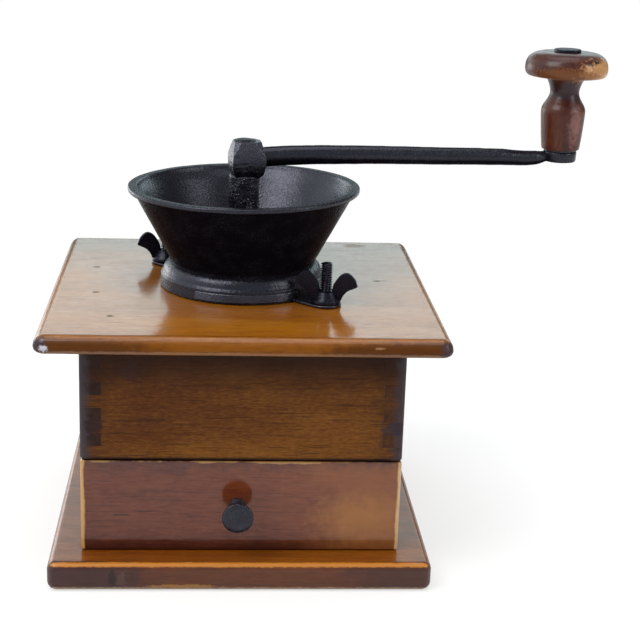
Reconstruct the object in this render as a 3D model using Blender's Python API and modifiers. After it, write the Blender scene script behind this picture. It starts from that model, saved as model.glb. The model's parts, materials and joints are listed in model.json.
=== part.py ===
# Manual coffee grinder: an open iron hopper on a wooden case with a drawer, turned by a crank.
# Metres, +Z up. The origin is the centre of the base board's underside, under the spindle.
# The drawer opens towards -Y.

import math

import bmesh
import bpy
from mathutils import Matrix, Vector

# Clearances
SEAT_GAP = 0.0003
CUT_OVERRUN = 0.001
DRAWER_FLOOR_GAP = 0.0005
DRAWER_SIDE_CLEARANCE = 0.0006
DRAWER_BACK_CLEARANCE = 0.004
DRAWER_REVEAL = 0.0013
SHAFT_CLEARANCE = 0.0003

# Base board
BASE_OVERHANG = 0.01635
BASE_THICKNESS = 0.0152
BASE_CORNER_RADIUS = 0.0048
BASE_EDGE_RADIUS = 0.0042

# Case walls
CASE_WIDTH = 0.1633
WALL_HEIGHT = 0.1115
WALL_THICKNESS = 0.0105
CASE_CORNER_RADIUS = 0.003
RAIL_FINGERS = 9
REAR_FINGERS = 17

# Top board
TOP_SIDE_OVERHANG = 0.0205
TOP_END_OVERHANG = 0.0212
TOP_THICKNESS = 0.009
TOP_CORNER_RADIUS = 0.0062
TOP_UPPER_EDGE_RADIUS = 0.0058
TOP_LOWER_EDGE_RADIUS = 0.003

# Glue blocks under the top board
GLUE_BLOCK_LEG = 0.010
GLUE_BLOCK_LENGTH = 0.070
GLUE_BLOCK_SHIFT = 0.012

# Base screws
SCREW_HEAD_RADIUS = 0.0038
SCREW_SHANK_RADIUS = 0.0019
SCREW_LENGTH = 0.030
SCREW_SINK = 0.0006
SCREW_TIP_LENGTH = 0.004
SCREW_SLOT_WIDTH = 0.0009
SCREW_SLOT_DEPTH = 0.0010
SCREW_INSET = 0.030

# Drawer
DRAWER_FRONT_HEIGHT = 0.0491
DRAWER_FRONT_THICKNESS = 0.0102
DRAWER_FRONT_EDGE = 0.0008
DRAWER_SIDE_HEIGHT = 0.044
DRAWER_SIDE_THICKNESS = 0.0065
DRAWER_BACK_THICKNESS = 0.0065
DRAWER_BOTTOM_THICKNESS = 0.003
GROOVE_DEPTH = 0.0025
GROOVE_RISE = 0.004

# Drawer knob and its screw
KNOB_OFFSET = -0.002
KNOB_REACH = 0.0165
KNOB_DISC_RADIUS = 0.008
KNOB_DISC_THICKNESS = 0.0026
KNOB_EDGE_RADIUS = 0.0006
KNOB_STEM_RADIUS = 0.0035
KNOB_FOOT_RADIUS = 0.0048
KNOB_SCREW_RADIUS = 0.0018
KNOB_SCREW_HEAD_RADIUS = 0.0036
KNOB_SCREW_HEAD_HEIGHT = 0.0022
KNOB_SCREW_BITE = 0.007

# Hopper, heights above the underside of its foot
LIP_RADIUS = 0.062
LIP_WIDTH = 0.0048
LIP_HEIGHT = 0.0543
LIP_THICKNESS = 0.0022
LIP_ROUND = 0.0009
CONE_TOP_RADIUS = 0.0568
CONE_TOP_HEIGHT = 0.0482
NECK_RADIUS = 0.0382
NECK_HEIGHT = 0.0131
HOPPER_WALL = 0.0032
FOOT_FLARE = 0.0063
FOOT_BAND_HEIGHT = 0.0067
FOOT_BAND_STEP = 0.0006
FOOT_SWELL_SHARES = ((0.0, 1.0), (0.30, 0.88), (0.62, 0.62), (0.86, 0.30), (1.0, 0.0))
THROAT_RADIUS = 0.029
THROAT_DEPTH = 0.0243
THROAT_BORE_RADIUS = 0.0232
FUNNEL_FLOOR_HEIGHT = 0.0095
BURR_SEAT_RADIUS = 0.026
BURR_SEAT_DEPTH = 0.0028
SPIDER_WIDTH = 0.007
SPIDER_HEIGHT = 0.0052
SPIDER_RISE = 0.0006
BUSH_RISE = 0.0003
BUSH_RADIUS = 0.009
BUSH_HEIGHT = 0.0095
LUG_THICKNESS = 0.0014
LUG_RADIUS = 0.0082

# Bridge bolts, washers and wing nuts
BOLT_STANDOFF = 0.0149
BOLT_ANGLE = math.radians(-44)
BOLT_RADIUS = 0.003175
BOLT_STICK_OUT = 0.0153
BOLT_TIP_CHAMFER = 0.0006
BOLT_HEAD_RADIUS = 0.0063
BOLT_HEAD_HEIGHT = 0.004
WASHER_RADIUS = 0.007
WASHER_THICKNESS = 0.0006
NUT_BASE_RADIUS = 0.0078
NUT_TOP_RADIUS = 0.0053
NUT_HEIGHT = 0.005
NUT_ROUND = 0.0006
WING_REACH = 0.0164
WING_HEIGHT = 0.0154
WING_THICKNESS = 0.0022
WING_EDGE = 0.0005
WING_OUTLINE_SHARES = (
    (0.215, 0.03), (0.215, 0.48), (0.32, 0.72), (0.44, 0.895), (0.56, 0.98), (0.667, 1.0), (0.76, 0.968),
    (0.85, 0.89), (0.94, 0.77), (0.99, 0.63), (1.0, 0.54), (0.86, 0.46), (0.72, 0.385), (0.60, 0.26),
    (0.52, 0.12), (0.475, 0.03),
)
FRONT_NUT_TURN = math.radians(-16)
REAR_NUT_TURN = math.radians(12)

# Bridge under the top board
BRIDGE_THICKNESS = 0.005
BRIDGE_WIDTH = 0.015
BRIDGE_FOOT_END = 0.0085
BRIDGE_KNEE = 0.0475
BRIDGE_BAR_HALF = 0.0365
BRIDGE_DROP = 0.033
BRIDGE_EDGE = 0.0008
BOSS_RADIUS = 0.0095
BOSS_HEIGHT = 0.012

# Adjusting screw, lock nut and thrust ball
ADJUSTER_RADIUS = 0.004
ADJUSTER_TOP_RISE = 0.006
ADJUSTER_SHANK_BELOW = 0.014
ADJUSTER_HEAD_RADIUS = 0.0075
ADJUSTER_HEAD_HEIGHT = 0.005
LOCK_WASHER_RADIUS = 0.0078
LOCK_WASHER_THICKNESS = 0.001
LOCK_NUT_RADIUS = 0.0075
LOCK_NUT_HEIGHT = 0.0045
BALL_RADIUS = 0.003
BALL_POCKET_DEPTH = 0.0024

# Burrs
OUTER_BURR_HEIGHT = 0.0208
OUTER_BURR_TOP_CREST = 0.0145
OUTER_BURR_BOTTOM_CREST = 0.0226
INNER_BURR_HEIGHT = 0.020
INNER_BURR_TOP_CREST = 0.0092
BURR_SLIT = 0.0010
BURR_TOOTH_DEPTH = 0.0013
INNER_BURR_TWIST = math.radians(34)
OUTER_BURR_TWIST = math.radians(-12)
INNER_BURR_TEETH = 12
OUTER_BURR_TEETH = 18
BURR_LEVELS = 5
BURR_PIN_RADIUS = 0.0015
BURR_PIN_LENGTH = 0.022

# Spindle
SPINDLE_RADIUS = 0.0081
SPINDLE_ROUND = 0.0008
SPINDLE_NECK_RADIUS = 0.0056
SPINDLE_SHOULDER_RISE = 0.004
TENON_HALF = 0.0046
PEEN_RADIUS = 0.0062
PEEN_HEIGHT = 0.0009
PEEN_FALL_SHARE = 0.14

# Crank
CRANK_ANGLE = math.radians(8.5)
CRANK_RADIUS = 0.178
HUB_RISE = 0.0044
HUB_HEIGHT = 0.0195
HUB_OFFSET = 0.0012
HUB_HALF_WIDTH = 0.0090
HUB_PROFILE_SHARES = (
    (0.0, 0.66), (0.09, 0.85), (0.20, 0.935), (0.34, 0.985), (0.48, 1.0), (0.66, 0.965), (0.80, 0.905),
    (1.0, 0.78),
)
HUB_CORNER_SHARES = ((-0.05, 1.50), (0.61, 1.38), (1.05, 0.76))
ARM_ROOT = 0.005
ARM_ROOT_HEIGHT = 0.0108
ARM_ROOT_LEVEL = 0.0105
ARM_WIDTH_SHARE = 0.84
ARM_TIP_INSET = 0.007
ARM_SHARES = (
    (0.0, 0.0, 1.0), (0.14, 0.09, 0.98), (0.36, 0.088, 0.94), (0.60, 0.01, 0.90), (0.82, -0.06, 0.86),
    (1.0, -0.13, 0.70),
)
EYE_RADIUS = 0.0092
EYE_THICKNESS = 0.0057
EYE_EDGE = 0.0009
EYE_RISE = 0.0075

# Grip, its washer and its rivet
GRIP_WASHER_RADIUS = 0.0092
GRIP_WASHER_THICKNESS = 0.0006
GRIP_HEIGHT = 0.0532
GRIP_RADIUS = 0.0226
GRIP_BORE_RADIUS = 0.0034
GRIP_PROFILE_SHARES = (
    (0.60, 1.0), (0.79, 0.983), (0.915, 0.946), (0.98, 0.897), (1.0, 0.851), (0.995, 0.809), (0.96, 0.774),
    (0.88, 0.756), (0.60, 0.760), (0.51, 0.748), (0.44, 0.713), (0.387, 0.662), (0.355, 0.605), (0.364, 0.556),
    (0.422, 0.505), (0.50, 0.45), (0.536, 0.395), (0.524, 0.283), (0.496, 0.131), (0.465, 0.015), (0.45, 0.0),
)
RIVET_RADIUS = 0.0031
RIVET_HEAD_RADIUS = 0.0074
RIVET_HEAD_HEIGHT = 0.0014
RIVET_HEAD_ROUND = 0.0003

# Steps round a turned shape
FINE_STEPS = 56
MEDIUM_STEPS = 28
SMALL_STEPS = 18
TINY_STEPS = 12
RIM_STEPS = 4
CORNER_STEPS = 5
MERGE_DISTANCE = 0.00001

# Levels worked out from the sizes
BASE_TOP = BASE_THICKNESS
WALL_FLOOR = BASE_TOP + SEAT_GAP
WALL_TOP = WALL_FLOOR + WALL_HEIGHT
TOP_UNDERSIDE = WALL_TOP + SEAT_GAP
TOP_SURFACE = TOP_UNDERSIDE + TOP_THICKNESS
FOOT_LEVEL = TOP_SURFACE + SEAT_GAP
FOOT_RADIUS = NECK_RADIUS + FOOT_FLARE
BOLT_CIRCLE_RADIUS = FOOT_RADIUS + BOLT_STANDOFF
HALF_CASE = CASE_WIDTH / 2
BASE_WIDTH = CASE_WIDTH + 2 * BASE_OVERHANG
TOP_WIDTH = CASE_WIDTH + 2 * TOP_SIDE_OVERHANG
TOP_DEPTH = CASE_WIDTH + 2 * TOP_END_OVERHANG
INNER_HALF = HALF_CASE - WALL_THICKNESS
DRAWER_FLOOR = BASE_TOP + DRAWER_FLOOR_GAP
RAIL_FLOOR = DRAWER_FLOOR + DRAWER_FRONT_HEIGHT + DRAWER_REVEAL
DRAWER_FACE = -HALF_CASE
DRAWER_FRONT_REAR = DRAWER_FACE + DRAWER_FRONT_THICKNESS
KNOB_LEVEL = DRAWER_FLOOR + DRAWER_FRONT_HEIGHT / 2
THROAT_FLOOR = FOOT_LEVEL - THROAT_DEPTH
WASHER_FLOOR = FOOT_LEVEL + LUG_THICKNESS + SEAT_GAP
NUT_FLOOR = WASHER_FLOOR + WASHER_THICKNESS + SEAT_GAP
BOLT_TOP = NUT_FLOOR + NUT_HEIGHT + BOLT_STICK_OUT
BRIDGE_CEILING = TOP_UNDERSIDE - SEAT_GAP
BAR_TOP = BRIDGE_CEILING - BRIDGE_DROP
BAR_FLOOR = BAR_TOP - BRIDGE_THICKNESS
BOSS_TOP = BAR_TOP + (BOSS_HEIGHT - BRIDGE_THICKNESS) / 2
BOSS_FLOOR = BOSS_TOP - BOSS_HEIGHT
ADJUSTER_TOP = BOSS_TOP + ADJUSTER_TOP_RISE
BALL_LEVEL = ADJUSTER_TOP - BALL_POCKET_DEPTH + SEAT_GAP + BALL_RADIUS
SPINDLE_FLOOR = BALL_LEVEL + BALL_RADIUS + SEAT_GAP
SPINDLE_SHOULDER = FOOT_LEVEL + BUSH_HEIGHT + SPINDLE_SHOULDER_RISE
HUB_BOTTOM = FOOT_LEVEL + LIP_HEIGHT + HUB_RISE
HUB_TOP = HUB_BOTTOM + HUB_HEIGHT
INNER_BURR_FLOOR = THROAT_FLOOR
EYE_BOTTOM = HUB_BOTTOM + EYE_RISE
EYE_TOP = EYE_BOTTOM + EYE_THICKNESS
GRIP_WASHER_FLOOR = EYE_TOP + SEAT_GAP
GRIP_FLOOR = GRIP_WASHER_FLOOR + GRIP_WASHER_THICKNESS + SEAT_GAP
GRIP_TOP = GRIP_FLOOR + GRIP_HEIGHT

FACING_FRONT = (math.radians(90), 0.0, 0.0)
SMOOTH_LIMIT = math.radians(35)

# Colours as linear values, with roughness and metallic
AMBER_WOOD = ((0.28, 0.10, 0.025), 0.28, 0.0)
BROWN_WOOD = ((0.13, 0.055, 0.02), 0.35, 0.0)
RED_WOOD = ((0.15, 0.045, 0.025), 0.32, 0.0)
PALE_WOOD = ((0.42, 0.27, 0.14), 0.6, 0.0)
BLACK_IRON = ((0.012, 0.012, 0.014), 0.42, 0.35)
BARE_STEEL = ((0.32, 0.32, 0.33), 0.35, 1.0)
BURR_IRON = ((0.09, 0.09, 0.095), 0.5, 0.9)


# Scene and helpers


def clear_scene():
    for thing in list(bpy.data.objects):
        bpy.data.objects.remove(thing, do_unlink=True)
    for group in list(bpy.data.collections):
        bpy.data.collections.remove(group)


clear_scene()
grinder = bpy.data.collections.new("Coffee grinder")
cutters = bpy.data.collections.new("Cutters")
bpy.context.scene.collection.children.link(grinder)
bpy.context.scene.collection.children.link(cutters)


def add_object(name, data, location, rotation, parent, group):
    thing = bpy.data.objects.new(name, data)
    thing.location = location
    thing.rotation_euler = rotation
    thing.parent = parent
    group.objects.link(thing)
    return thing


def add_axis(name, location, turn=0.0, parent=None):
    axis = add_object(name, None, location, (0.0, 0.0, turn), parent, grinder)
    axis.empty_display_size = SPINDLE_RADIUS
    return axis


def as_cutter(thing):
    for group in list(thing.users_collection):
        group.objects.unlink(thing)
    cutters.objects.link(thing)
    thing.hide_render = True
    thing.display_type = "WIRE"
    return thing


def finish(thing, look):
    colour, roughness, metallic = look
    material = bpy.data.materials.new(thing.name)
    material.use_nodes = True
    shader = material.node_tree.nodes["Principled BSDF"]
    shader.inputs["Base Color"].default_value = (*colour, 1.0)
    shader.inputs["Roughness"].default_value = roughness
    shader.inputs["Metallic"].default_value = metallic
    material.diffuse_color = (*colour, 1.0)
    thing.data.materials.clear()
    thing.data.materials.append(material)
    thing.data.shade_smooth()
    thing.data.set_sharp_from_angle(angle=SMOOTH_LIMIT)
    return thing


def combine(target, tool, operation):
    modifier = target.modifiers.new(tool.name, "BOOLEAN")
    modifier.operation = operation
    modifier.solver = "EXACT"
    modifier.object = as_cutter(tool)
    return target


def bevel_edges(thing, width, segments):
    modifier = thing.modifiers.new("Rounded edges", "BEVEL")
    modifier.width = width
    modifier.segments = segments
    modifier.limit_method = "ANGLE"
    modifier.angle_limit = math.radians(50)
    return thing


def box(name, low, high, parent=None, location=(0.0, 0.0, 0.0), rotation=(0.0, 0.0, 0.0)):
    size = Vector(high) - Vector(low)
    middle = (Vector(high) + Vector(low)) / 2
    shape = bmesh.new()
    bmesh.ops.create_cube(shape, size=1.0)
    bmesh.ops.scale(shape, vec=size, verts=shape.verts)
    bmesh.ops.translate(shape, vec=middle, verts=shape.verts)
    mesh = bpy.data.meshes.new(name)
    shape.to_mesh(mesh)
    shape.free()
    return add_object(name, mesh, location, rotation, parent, grinder)


def cylinder(name, radius, bottom, top, steps, parent=None, location=(0.0, 0.0, 0.0),
             rotation=(0.0, 0.0, 0.0)):
    shape = bmesh.new()
    bmesh.ops.create_cone(
        shape, cap_ends=True, segments=steps, radius1=radius, radius2=radius, depth=top - bottom)
    bmesh.ops.translate(shape, vec=(0.0, 0.0, (top + bottom) / 2), verts=shape.verts)
    mesh = bpy.data.meshes.new(name)
    shape.to_mesh(mesh)
    shape.free()
    return add_object(name, mesh, location, rotation, parent, grinder)


def turned(name, profile, steps, parent=None, location=(0.0, 0.0, 0.0), rotation=(0.0, 0.0, 0.0),
           closed=False):
    edges = [(i, i + 1) for i in range(len(profile) - 1)]
    if closed:
        edges.append((len(profile) - 1, 0))
    mesh = bpy.data.meshes.new(name)
    mesh.from_pydata([(radius, 0.0, height) for radius, height in profile], edges, [])
    thing = add_object(name, mesh, location, rotation, parent, grinder)
    screw = thing.modifiers.new("Turned", "SCREW")
    screw.steps = steps
    screw.render_steps = steps
    screw.use_merge_vertices = True
    screw.merge_threshold = MERGE_DISTANCE
    return thing


def plate(name, points, thickness, parent=None, location=(0.0, 0.0, 0.0), rotation=(0.0, 0.0, 0.0)):
    curve = bpy.data.curves.new(name, "CURVE")
    curve.dimensions = "2D"
    curve.fill_mode = "BOTH"
    curve.extrude = thickness / 2
    spline = curve.splines.new("POLY")
    spline.points.add(len(points) - 1)
    for point, (across, up) in zip(spline.points, points):
        point.co = (across, up, 0.0, 1.0)
    spline.use_cyclic_u = True
    return curve_to_mesh(curve, name, parent, location, rotation)


def curve_to_mesh(curve, name, parent, location, rotation):
    guide = add_object(name + " curve", curve, (0.0, 0.0, 0.0), (0.0, 0.0, 0.0), None, grinder)
    bpy.context.view_layer.update()
    evaluated = guide.evaluated_get(bpy.context.evaluated_depsgraph_get())
    mesh = bpy.data.meshes.new_from_object(evaluated)
    mesh.name = name
    shape = bmesh.new()
    shape.from_mesh(mesh)
    bmesh.ops.remove_doubles(shape, verts=shape.verts, dist=MERGE_DISTANCE)
    bmesh.ops.recalc_face_normals(shape, faces=shape.faces)
    shape.to_mesh(mesh)
    shape.free()
    bpy.data.objects.remove(guide, do_unlink=True)
    bpy.data.curves.remove(curve)
    return add_object(name, mesh, location, rotation, parent, grinder)


def arc(centre, radius, start, end, count):
    angles = [start + (end - start) * i / count for i in range(count + 1)]
    return [(centre[0] + radius * math.cos(a), centre[1] + radius * math.sin(a)) for a in angles]


def rounded_outline(width, depth, radius, count):
    across = width / 2 - radius
    along = depth / 2 - radius
    corners = ((across, along), (-across, along), (-across, -along), (across, -along))
    points = []
    for index, corner in enumerate(corners):
        start = math.radians(90 * index)
        points += arc(corner, radius, start, start + math.radians(90), count)
    return points


def rounded_board(name, size, corner, span, lower, upper):
    # A board whose lower and upper rims are rounded all the way round, ring by ring
    floor, ceiling = span
    levels = []
    for step in range(RIM_STEPS + 1):
        angle = math.radians(90 * step / RIM_STEPS)
        levels.append((lower * (1 - math.sin(angle)), floor + lower * (1 - math.cos(angle))))
    for step in range(RIM_STEPS + 1):
        angle = math.radians(90 * step / RIM_STEPS)
        levels.append((upper * (1 - math.cos(angle)), ceiling - upper * (1 - math.sin(angle))))
    shape = bmesh.new()
    rings = []
    for inset, level in levels:
        outline = rounded_outline(size[0] - 2 * inset, size[1] - 2 * inset, corner - inset, CORNER_STEPS)
        rings.append([shape.verts.new((across, along, level)) for across, along in outline])
    for under, over in zip(rings, rings[1:]):
        for index in range(len(under)):
            following = (index + 1) % len(under)
            shape.faces.new((under[index], under[following], over[following], over[index]))
    shape.faces.new(rings[0])
    shape.faces.new(rings[-1])
    bmesh.ops.recalc_face_normals(shape, faces=shape.faces)
    mesh = bpy.data.meshes.new(name)
    shape.to_mesh(mesh)
    shape.free()
    return add_object(name, mesh, (0.0, 0.0, 0.0), (0.0, 0.0, 0.0), None, grinder)


# Wooden case


def finger_notches(name, start, end, count, first_cut, spans, depth_span, on_side):
    # Boxes that cut every other finger, each half a gap wider than its finger at either end
    pitch = (end - start) / count
    shape = bmesh.new()
    for index in range(count):
        if (index % 2 == 0) != first_cut:
            continue
        low = start + pitch * index - (SEAT_GAP / 2 if index else CUT_OVERRUN)
        high = start + pitch * (index + 1) + (SEAT_GAP / 2 if index < count - 1 else CUT_OVERRUN)
        for span in spans:
            corner = (span, depth_span) if not on_side else (depth_span, span)
            size = (corner[0][1] - corner[0][0], corner[1][1] - corner[1][0], high - low)
            middle = (sum(corner[0]) / 2, sum(corner[1]) / 2, (high + low) / 2)
            cube = bmesh.ops.create_cube(shape, size=1.0)["verts"]
            bmesh.ops.scale(shape, vec=size, verts=cube)
            bmesh.ops.translate(shape, vec=middle, verts=cube)
    mesh = bpy.data.meshes.new(name)
    shape.to_mesh(mesh)
    shape.free()
    return add_object(name, mesh, (0.0, 0.0, 0.0), (0.0, 0.0, 0.0), None, grinder)


def trim_to_case(wall):
    form = plate("case_form_" + wall.name, rounded_outline(CASE_WIDTH, CASE_WIDTH, CASE_CORNER_RADIUS, 3),
                 WALL_HEIGHT + 4 * CUT_OVERRUN, location=(0.0, 0.0, (WALL_FLOOR + WALL_TOP) / 2))
    return combine(wall, form, "INTERSECT")


def corner_span(side):
    # Across one corner of the case, past the wall's face and a gap into the next wall
    return tuple(sorted((side * (HALF_CASE + 2 * CUT_OVERRUN), side * (INNER_HALF - SEAT_GAP))))


def build_base_board():
    board = rounded_board("base_board", (BASE_WIDTH, BASE_WIDTH), BASE_CORNER_RADIUS, (0.0, BASE_TOP),
                          BASE_EDGE_RADIUS, BASE_EDGE_RADIUS)
    for index, (x, y) in enumerate(screw_places()):
        combine(board, screw_hole("base_screw_bore_%d" % (index + 1), x, y), "DIFFERENCE")
    return finish(board, AMBER_WOOD)


def build_side_wall(name, side):
    # The front steps back below the rail, where the drawer front covers it
    outer = HALF_CASE + CUT_OVERRUN
    across = sorted((side * outer, side * INNER_HALF))
    wall = box(name, (across[0], -outer, WALL_FLOOR), (across[1], outer, WALL_TOP))
    past = sorted((side * (outer + CUT_OVERRUN), side * (INNER_HALF - CUT_OVERRUN)))
    combine(wall, finger_notches(name + "_rear_notches", WALL_FLOOR, WALL_TOP, REAR_FINGERS, False,
                                 [corner_span(1)], past, True), "DIFFERENCE")
    combine(wall, finger_notches(name + "_front_notches", RAIL_FLOOR, WALL_TOP, RAIL_FINGERS, True,
                                 [corner_span(-1)], past, True), "DIFFERENCE")
    step = box(name + "_drawer_step", (past[0], -outer - CUT_OVERRUN, WALL_FLOOR - CUT_OVERRUN),
               (past[1], DRAWER_FRONT_REAR + SEAT_GAP, RAIL_FLOOR))
    combine(wall, step, "DIFFERENCE")
    trim_to_case(wall)
    for index, (x, y) in enumerate(screw_places()):
        if x * side > 0.0:
            combine(wall, screw_hole("%s_bore_%d" % (name, index + 1), x, y), "DIFFERENCE")
    return finish(wall, BROWN_WOOD)


def build_end_wall(name, side, floor, count):
    # The rear wall or the front rail, between the side walls' fingers
    outer = HALF_CASE + CUT_OVERRUN
    deep = sorted((side * outer, side * INNER_HALF))
    wall = box(name, (-outer, deep[0], floor), (outer, deep[1], WALL_TOP))
    past = sorted((side * (outer + CUT_OVERRUN), side * (INNER_HALF - CUT_OVERRUN)))
    starts_cut = side > 0
    notches = finger_notches(name + "_notches", floor, WALL_TOP, count, starts_cut,
                             [corner_span(-1), corner_span(1)], past, False)
    combine(wall, notches, "DIFFERENCE")
    return finish(trim_to_case(wall), BROWN_WOOD)


def build_top_board():
    board = rounded_board("top_board", (TOP_WIDTH, TOP_DEPTH), TOP_CORNER_RADIUS, (TOP_UNDERSIDE, TOP_SURFACE),
                          TOP_LOWER_EDGE_RADIUS, TOP_UPPER_EDGE_RADIUS)
    low = TOP_UNDERSIDE - CUT_OVERRUN
    high = TOP_SURFACE + CUT_OVERRUN
    throat = cylinder("throat_hole", THROAT_RADIUS + SEAT_GAP, low, high, FINE_STEPS)
    combine(board, throat, "DIFFERENCE")
    for name, place in bolt_places():
        hole = cylinder("board_hole_" + name, BOLT_RADIUS + SHAFT_CLEARANCE, low, high, SMALL_STEPS,
                        location=(*place, 0.0))
        combine(board, hole, "DIFFERENCE")
    return finish(board, AMBER_WOOD)


def build_glue_block(name, side):
    # Each block lies off the middle of its wall, away from the bridge's foot
    leg = GLUE_BLOCK_LEG
    corner = (side * (INNER_HALF - SEAT_GAP), BRIDGE_CEILING)
    points = [corner, (corner[0] - side * leg, corner[1]), (corner[0], corner[1] - leg)]
    block = plate(name, points, GLUE_BLOCK_LENGTH, location=(0.0, side * GLUE_BLOCK_SHIFT, 0.0),
                  rotation=FACING_FRONT)
    return finish(block, PALE_WOOD)


# Base screws


def screw_places():
    across = HALF_CASE - WALL_THICKNESS / 2
    along = HALF_CASE - SCREW_INSET
    return [(sx * across, sy * along) for sy in (-1, 1) for sx in (-1, 1)]


def screw_profile(extra):
    head = SCREW_HEAD_RADIUS + extra
    shank = SCREW_SHANK_RADIUS + extra
    sink = SCREW_SINK
    neck = sink + SCREW_HEAD_RADIUS - SCREW_SHANK_RADIUS
    tip = sink + SCREW_LENGTH + extra
    return [(0.0, tip), (shank, tip - SCREW_TIP_LENGTH), (shank, neck), (head, sink)]


def screw_hole(name, x, y):
    profile = screw_profile(SEAT_GAP) + [(SCREW_HEAD_RADIUS + SEAT_GAP, -CUT_OVERRUN), (0.0, -CUT_OVERRUN)]
    return turned(name, profile, TINY_STEPS, location=(x, y, 0.0))


def build_base_screw(index, x, y):
    name = "base_screw_%d" % index
    profile = screw_profile(0.0) + [(0.0, SCREW_SINK)]
    screw = turned(name, profile, TINY_STEPS, location=(x, y, 0.0))
    half = SCREW_SLOT_WIDTH / 2
    reach = SCREW_HEAD_RADIUS + CUT_OVERRUN
    slot = box(name + "_slot", (-reach, -half, -CUT_OVERRUN), (reach, half, SCREW_SINK + SCREW_SLOT_DEPTH),
               location=(x, y, 0.0), rotation=(0.0, 0.0, math.radians(25 * index)))
    return finish(combine(screw, slot, "DIFFERENCE"), BARE_STEEL)


# Drawer


def drawer_box_half():
    return INNER_HALF - DRAWER_SIDE_CLEARANCE


def drawer_rear():
    return INNER_HALF - DRAWER_BACK_CLEARANCE


def drawer_bottom_corners(extra):
    # The bottom board with an equal allowance all round, for the board and for its grooves
    half = drawer_box_half() - DRAWER_SIDE_THICKNESS + GROOVE_DEPTH - SEAT_GAP + extra
    front = DRAWER_FRONT_REAR - GROOVE_DEPTH + SEAT_GAP - extra
    rear = drawer_rear() - DRAWER_BACK_THICKNESS + GROOVE_DEPTH - SEAT_GAP + extra
    low = DRAWER_FLOOR + GROOVE_RISE - extra
    return (-half, front, low), (half, rear, DRAWER_FLOOR + GROOVE_RISE + DRAWER_BOTTOM_THICKNESS + extra)


def build_drawer(axis):
    half = drawer_box_half()
    side_front = DRAWER_FRONT_REAR + SEAT_GAP
    side_top = DRAWER_FLOOR + DRAWER_SIDE_HEIGHT
    front = box("drawer_front", (-HALF_CASE, DRAWER_FACE, DRAWER_FLOOR),
                (HALF_CASE, DRAWER_FRONT_REAR, DRAWER_FLOOR + DRAWER_FRONT_HEIGHT), axis)
    bevel_edges(front, DRAWER_FRONT_EDGE, 2)
    bore = cylinder("knob_screw_bore", KNOB_SCREW_RADIUS + SEAT_GAP, -CUT_OVERRUN,
                    DRAWER_FRONT_THICKNESS + CUT_OVERRUN, TINY_STEPS, axis,
                    (KNOB_OFFSET, DRAWER_FRONT_REAR, KNOB_LEVEL), FACING_FRONT)
    combine(front, bore, "DIFFERENCE")
    boards = [(front, RED_WOOD)]
    for name, side in (("left", -1), ("right", 1)):
        edges = sorted((side * half, side * (half - DRAWER_SIDE_THICKNESS)))
        board = box("drawer_side_" + name, (edges[0], side_front, DRAWER_FLOOR),
                    (edges[1], drawer_rear(), side_top), axis)
        boards.append((board, PALE_WOOD))
    inner = half - DRAWER_SIDE_THICKNESS - SEAT_GAP
    back = box("drawer_back", (-inner, drawer_rear() - DRAWER_BACK_THICKNESS, DRAWER_FLOOR),
               (inner, drawer_rear(), side_top), axis)
    boards.append((back, PALE_WOOD))
    for board, look in boards:
        groove = box("groove_" + board.name, *drawer_bottom_corners(SEAT_GAP), axis)
        combine(board, groove, "DIFFERENCE")
        finish(board, look)
    bottom = box("drawer_bottom", *drawer_bottom_corners(0.0), axis)
    finish(bottom, PALE_WOOD)


def build_knob(axis):
    # Turned about its own axis, then laid to face the front; heights run outwards from the drawer's face
    disc_back = KNOB_REACH - KNOB_DISC_THICKNESS
    rim = KNOB_DISC_RADIUS
    edge = KNOB_EDGE_RADIUS
    profile = [
        (0.0, KNOB_REACH), (rim - edge, KNOB_REACH), (rim, KNOB_REACH - edge), (rim, disc_back + edge),
        (rim - edge, disc_back), (KNOB_FOOT_RADIUS, disc_back - edge),
        (KNOB_STEM_RADIUS, disc_back - KNOB_DISC_THICKNESS),
        (KNOB_STEM_RADIUS, SEAT_GAP + KNOB_DISC_THICKNESS),
        (KNOB_FOOT_RADIUS, SEAT_GAP + edge), (KNOB_FOOT_RADIUS, SEAT_GAP), (0.0, SEAT_GAP),
    ]
    place = (KNOB_OFFSET, DRAWER_FACE, KNOB_LEVEL)
    knob = turned("drawer_knob", profile, MEDIUM_STEPS, axis, place, FACING_FRONT)
    depth = KNOB_SCREW_BITE + SEAT_GAP
    bore = cylinder("knob_bore", KNOB_SCREW_RADIUS + SEAT_GAP, -CUT_OVERRUN, depth, TINY_STEPS,
                    axis, place, FACING_FRONT)
    finish(combine(knob, bore, "DIFFERENCE"), BLACK_IRON)

    head_floor = -DRAWER_FRONT_THICKNESS - SEAT_GAP
    head_end = head_floor - KNOB_SCREW_HEAD_HEIGHT
    crown = KNOB_SCREW_HEAD_RADIUS - KNOB_SCREW_HEAD_HEIGHT / 2
    profile = [
        (0.0, KNOB_SCREW_BITE), (KNOB_SCREW_RADIUS, KNOB_SCREW_BITE), (KNOB_SCREW_RADIUS, head_floor),
        (KNOB_SCREW_HEAD_RADIUS, head_floor), (KNOB_SCREW_HEAD_RADIUS, (head_floor + head_end) / 2),
        (crown, head_end), (0.0, head_end),
    ]
    screw = turned("knob_screw", profile, TINY_STEPS, axis, place, FACING_FRONT)
    finish(screw, BARE_STEEL)


# Hopper


def bolt_places():
    x = BOLT_CIRCLE_RADIUS * math.cos(BOLT_ANGLE)
    y = BOLT_CIRCLE_RADIUS * math.sin(BOLT_ANGLE)
    return [("front", (x, y)), ("rear", (-x, -y))]


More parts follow.
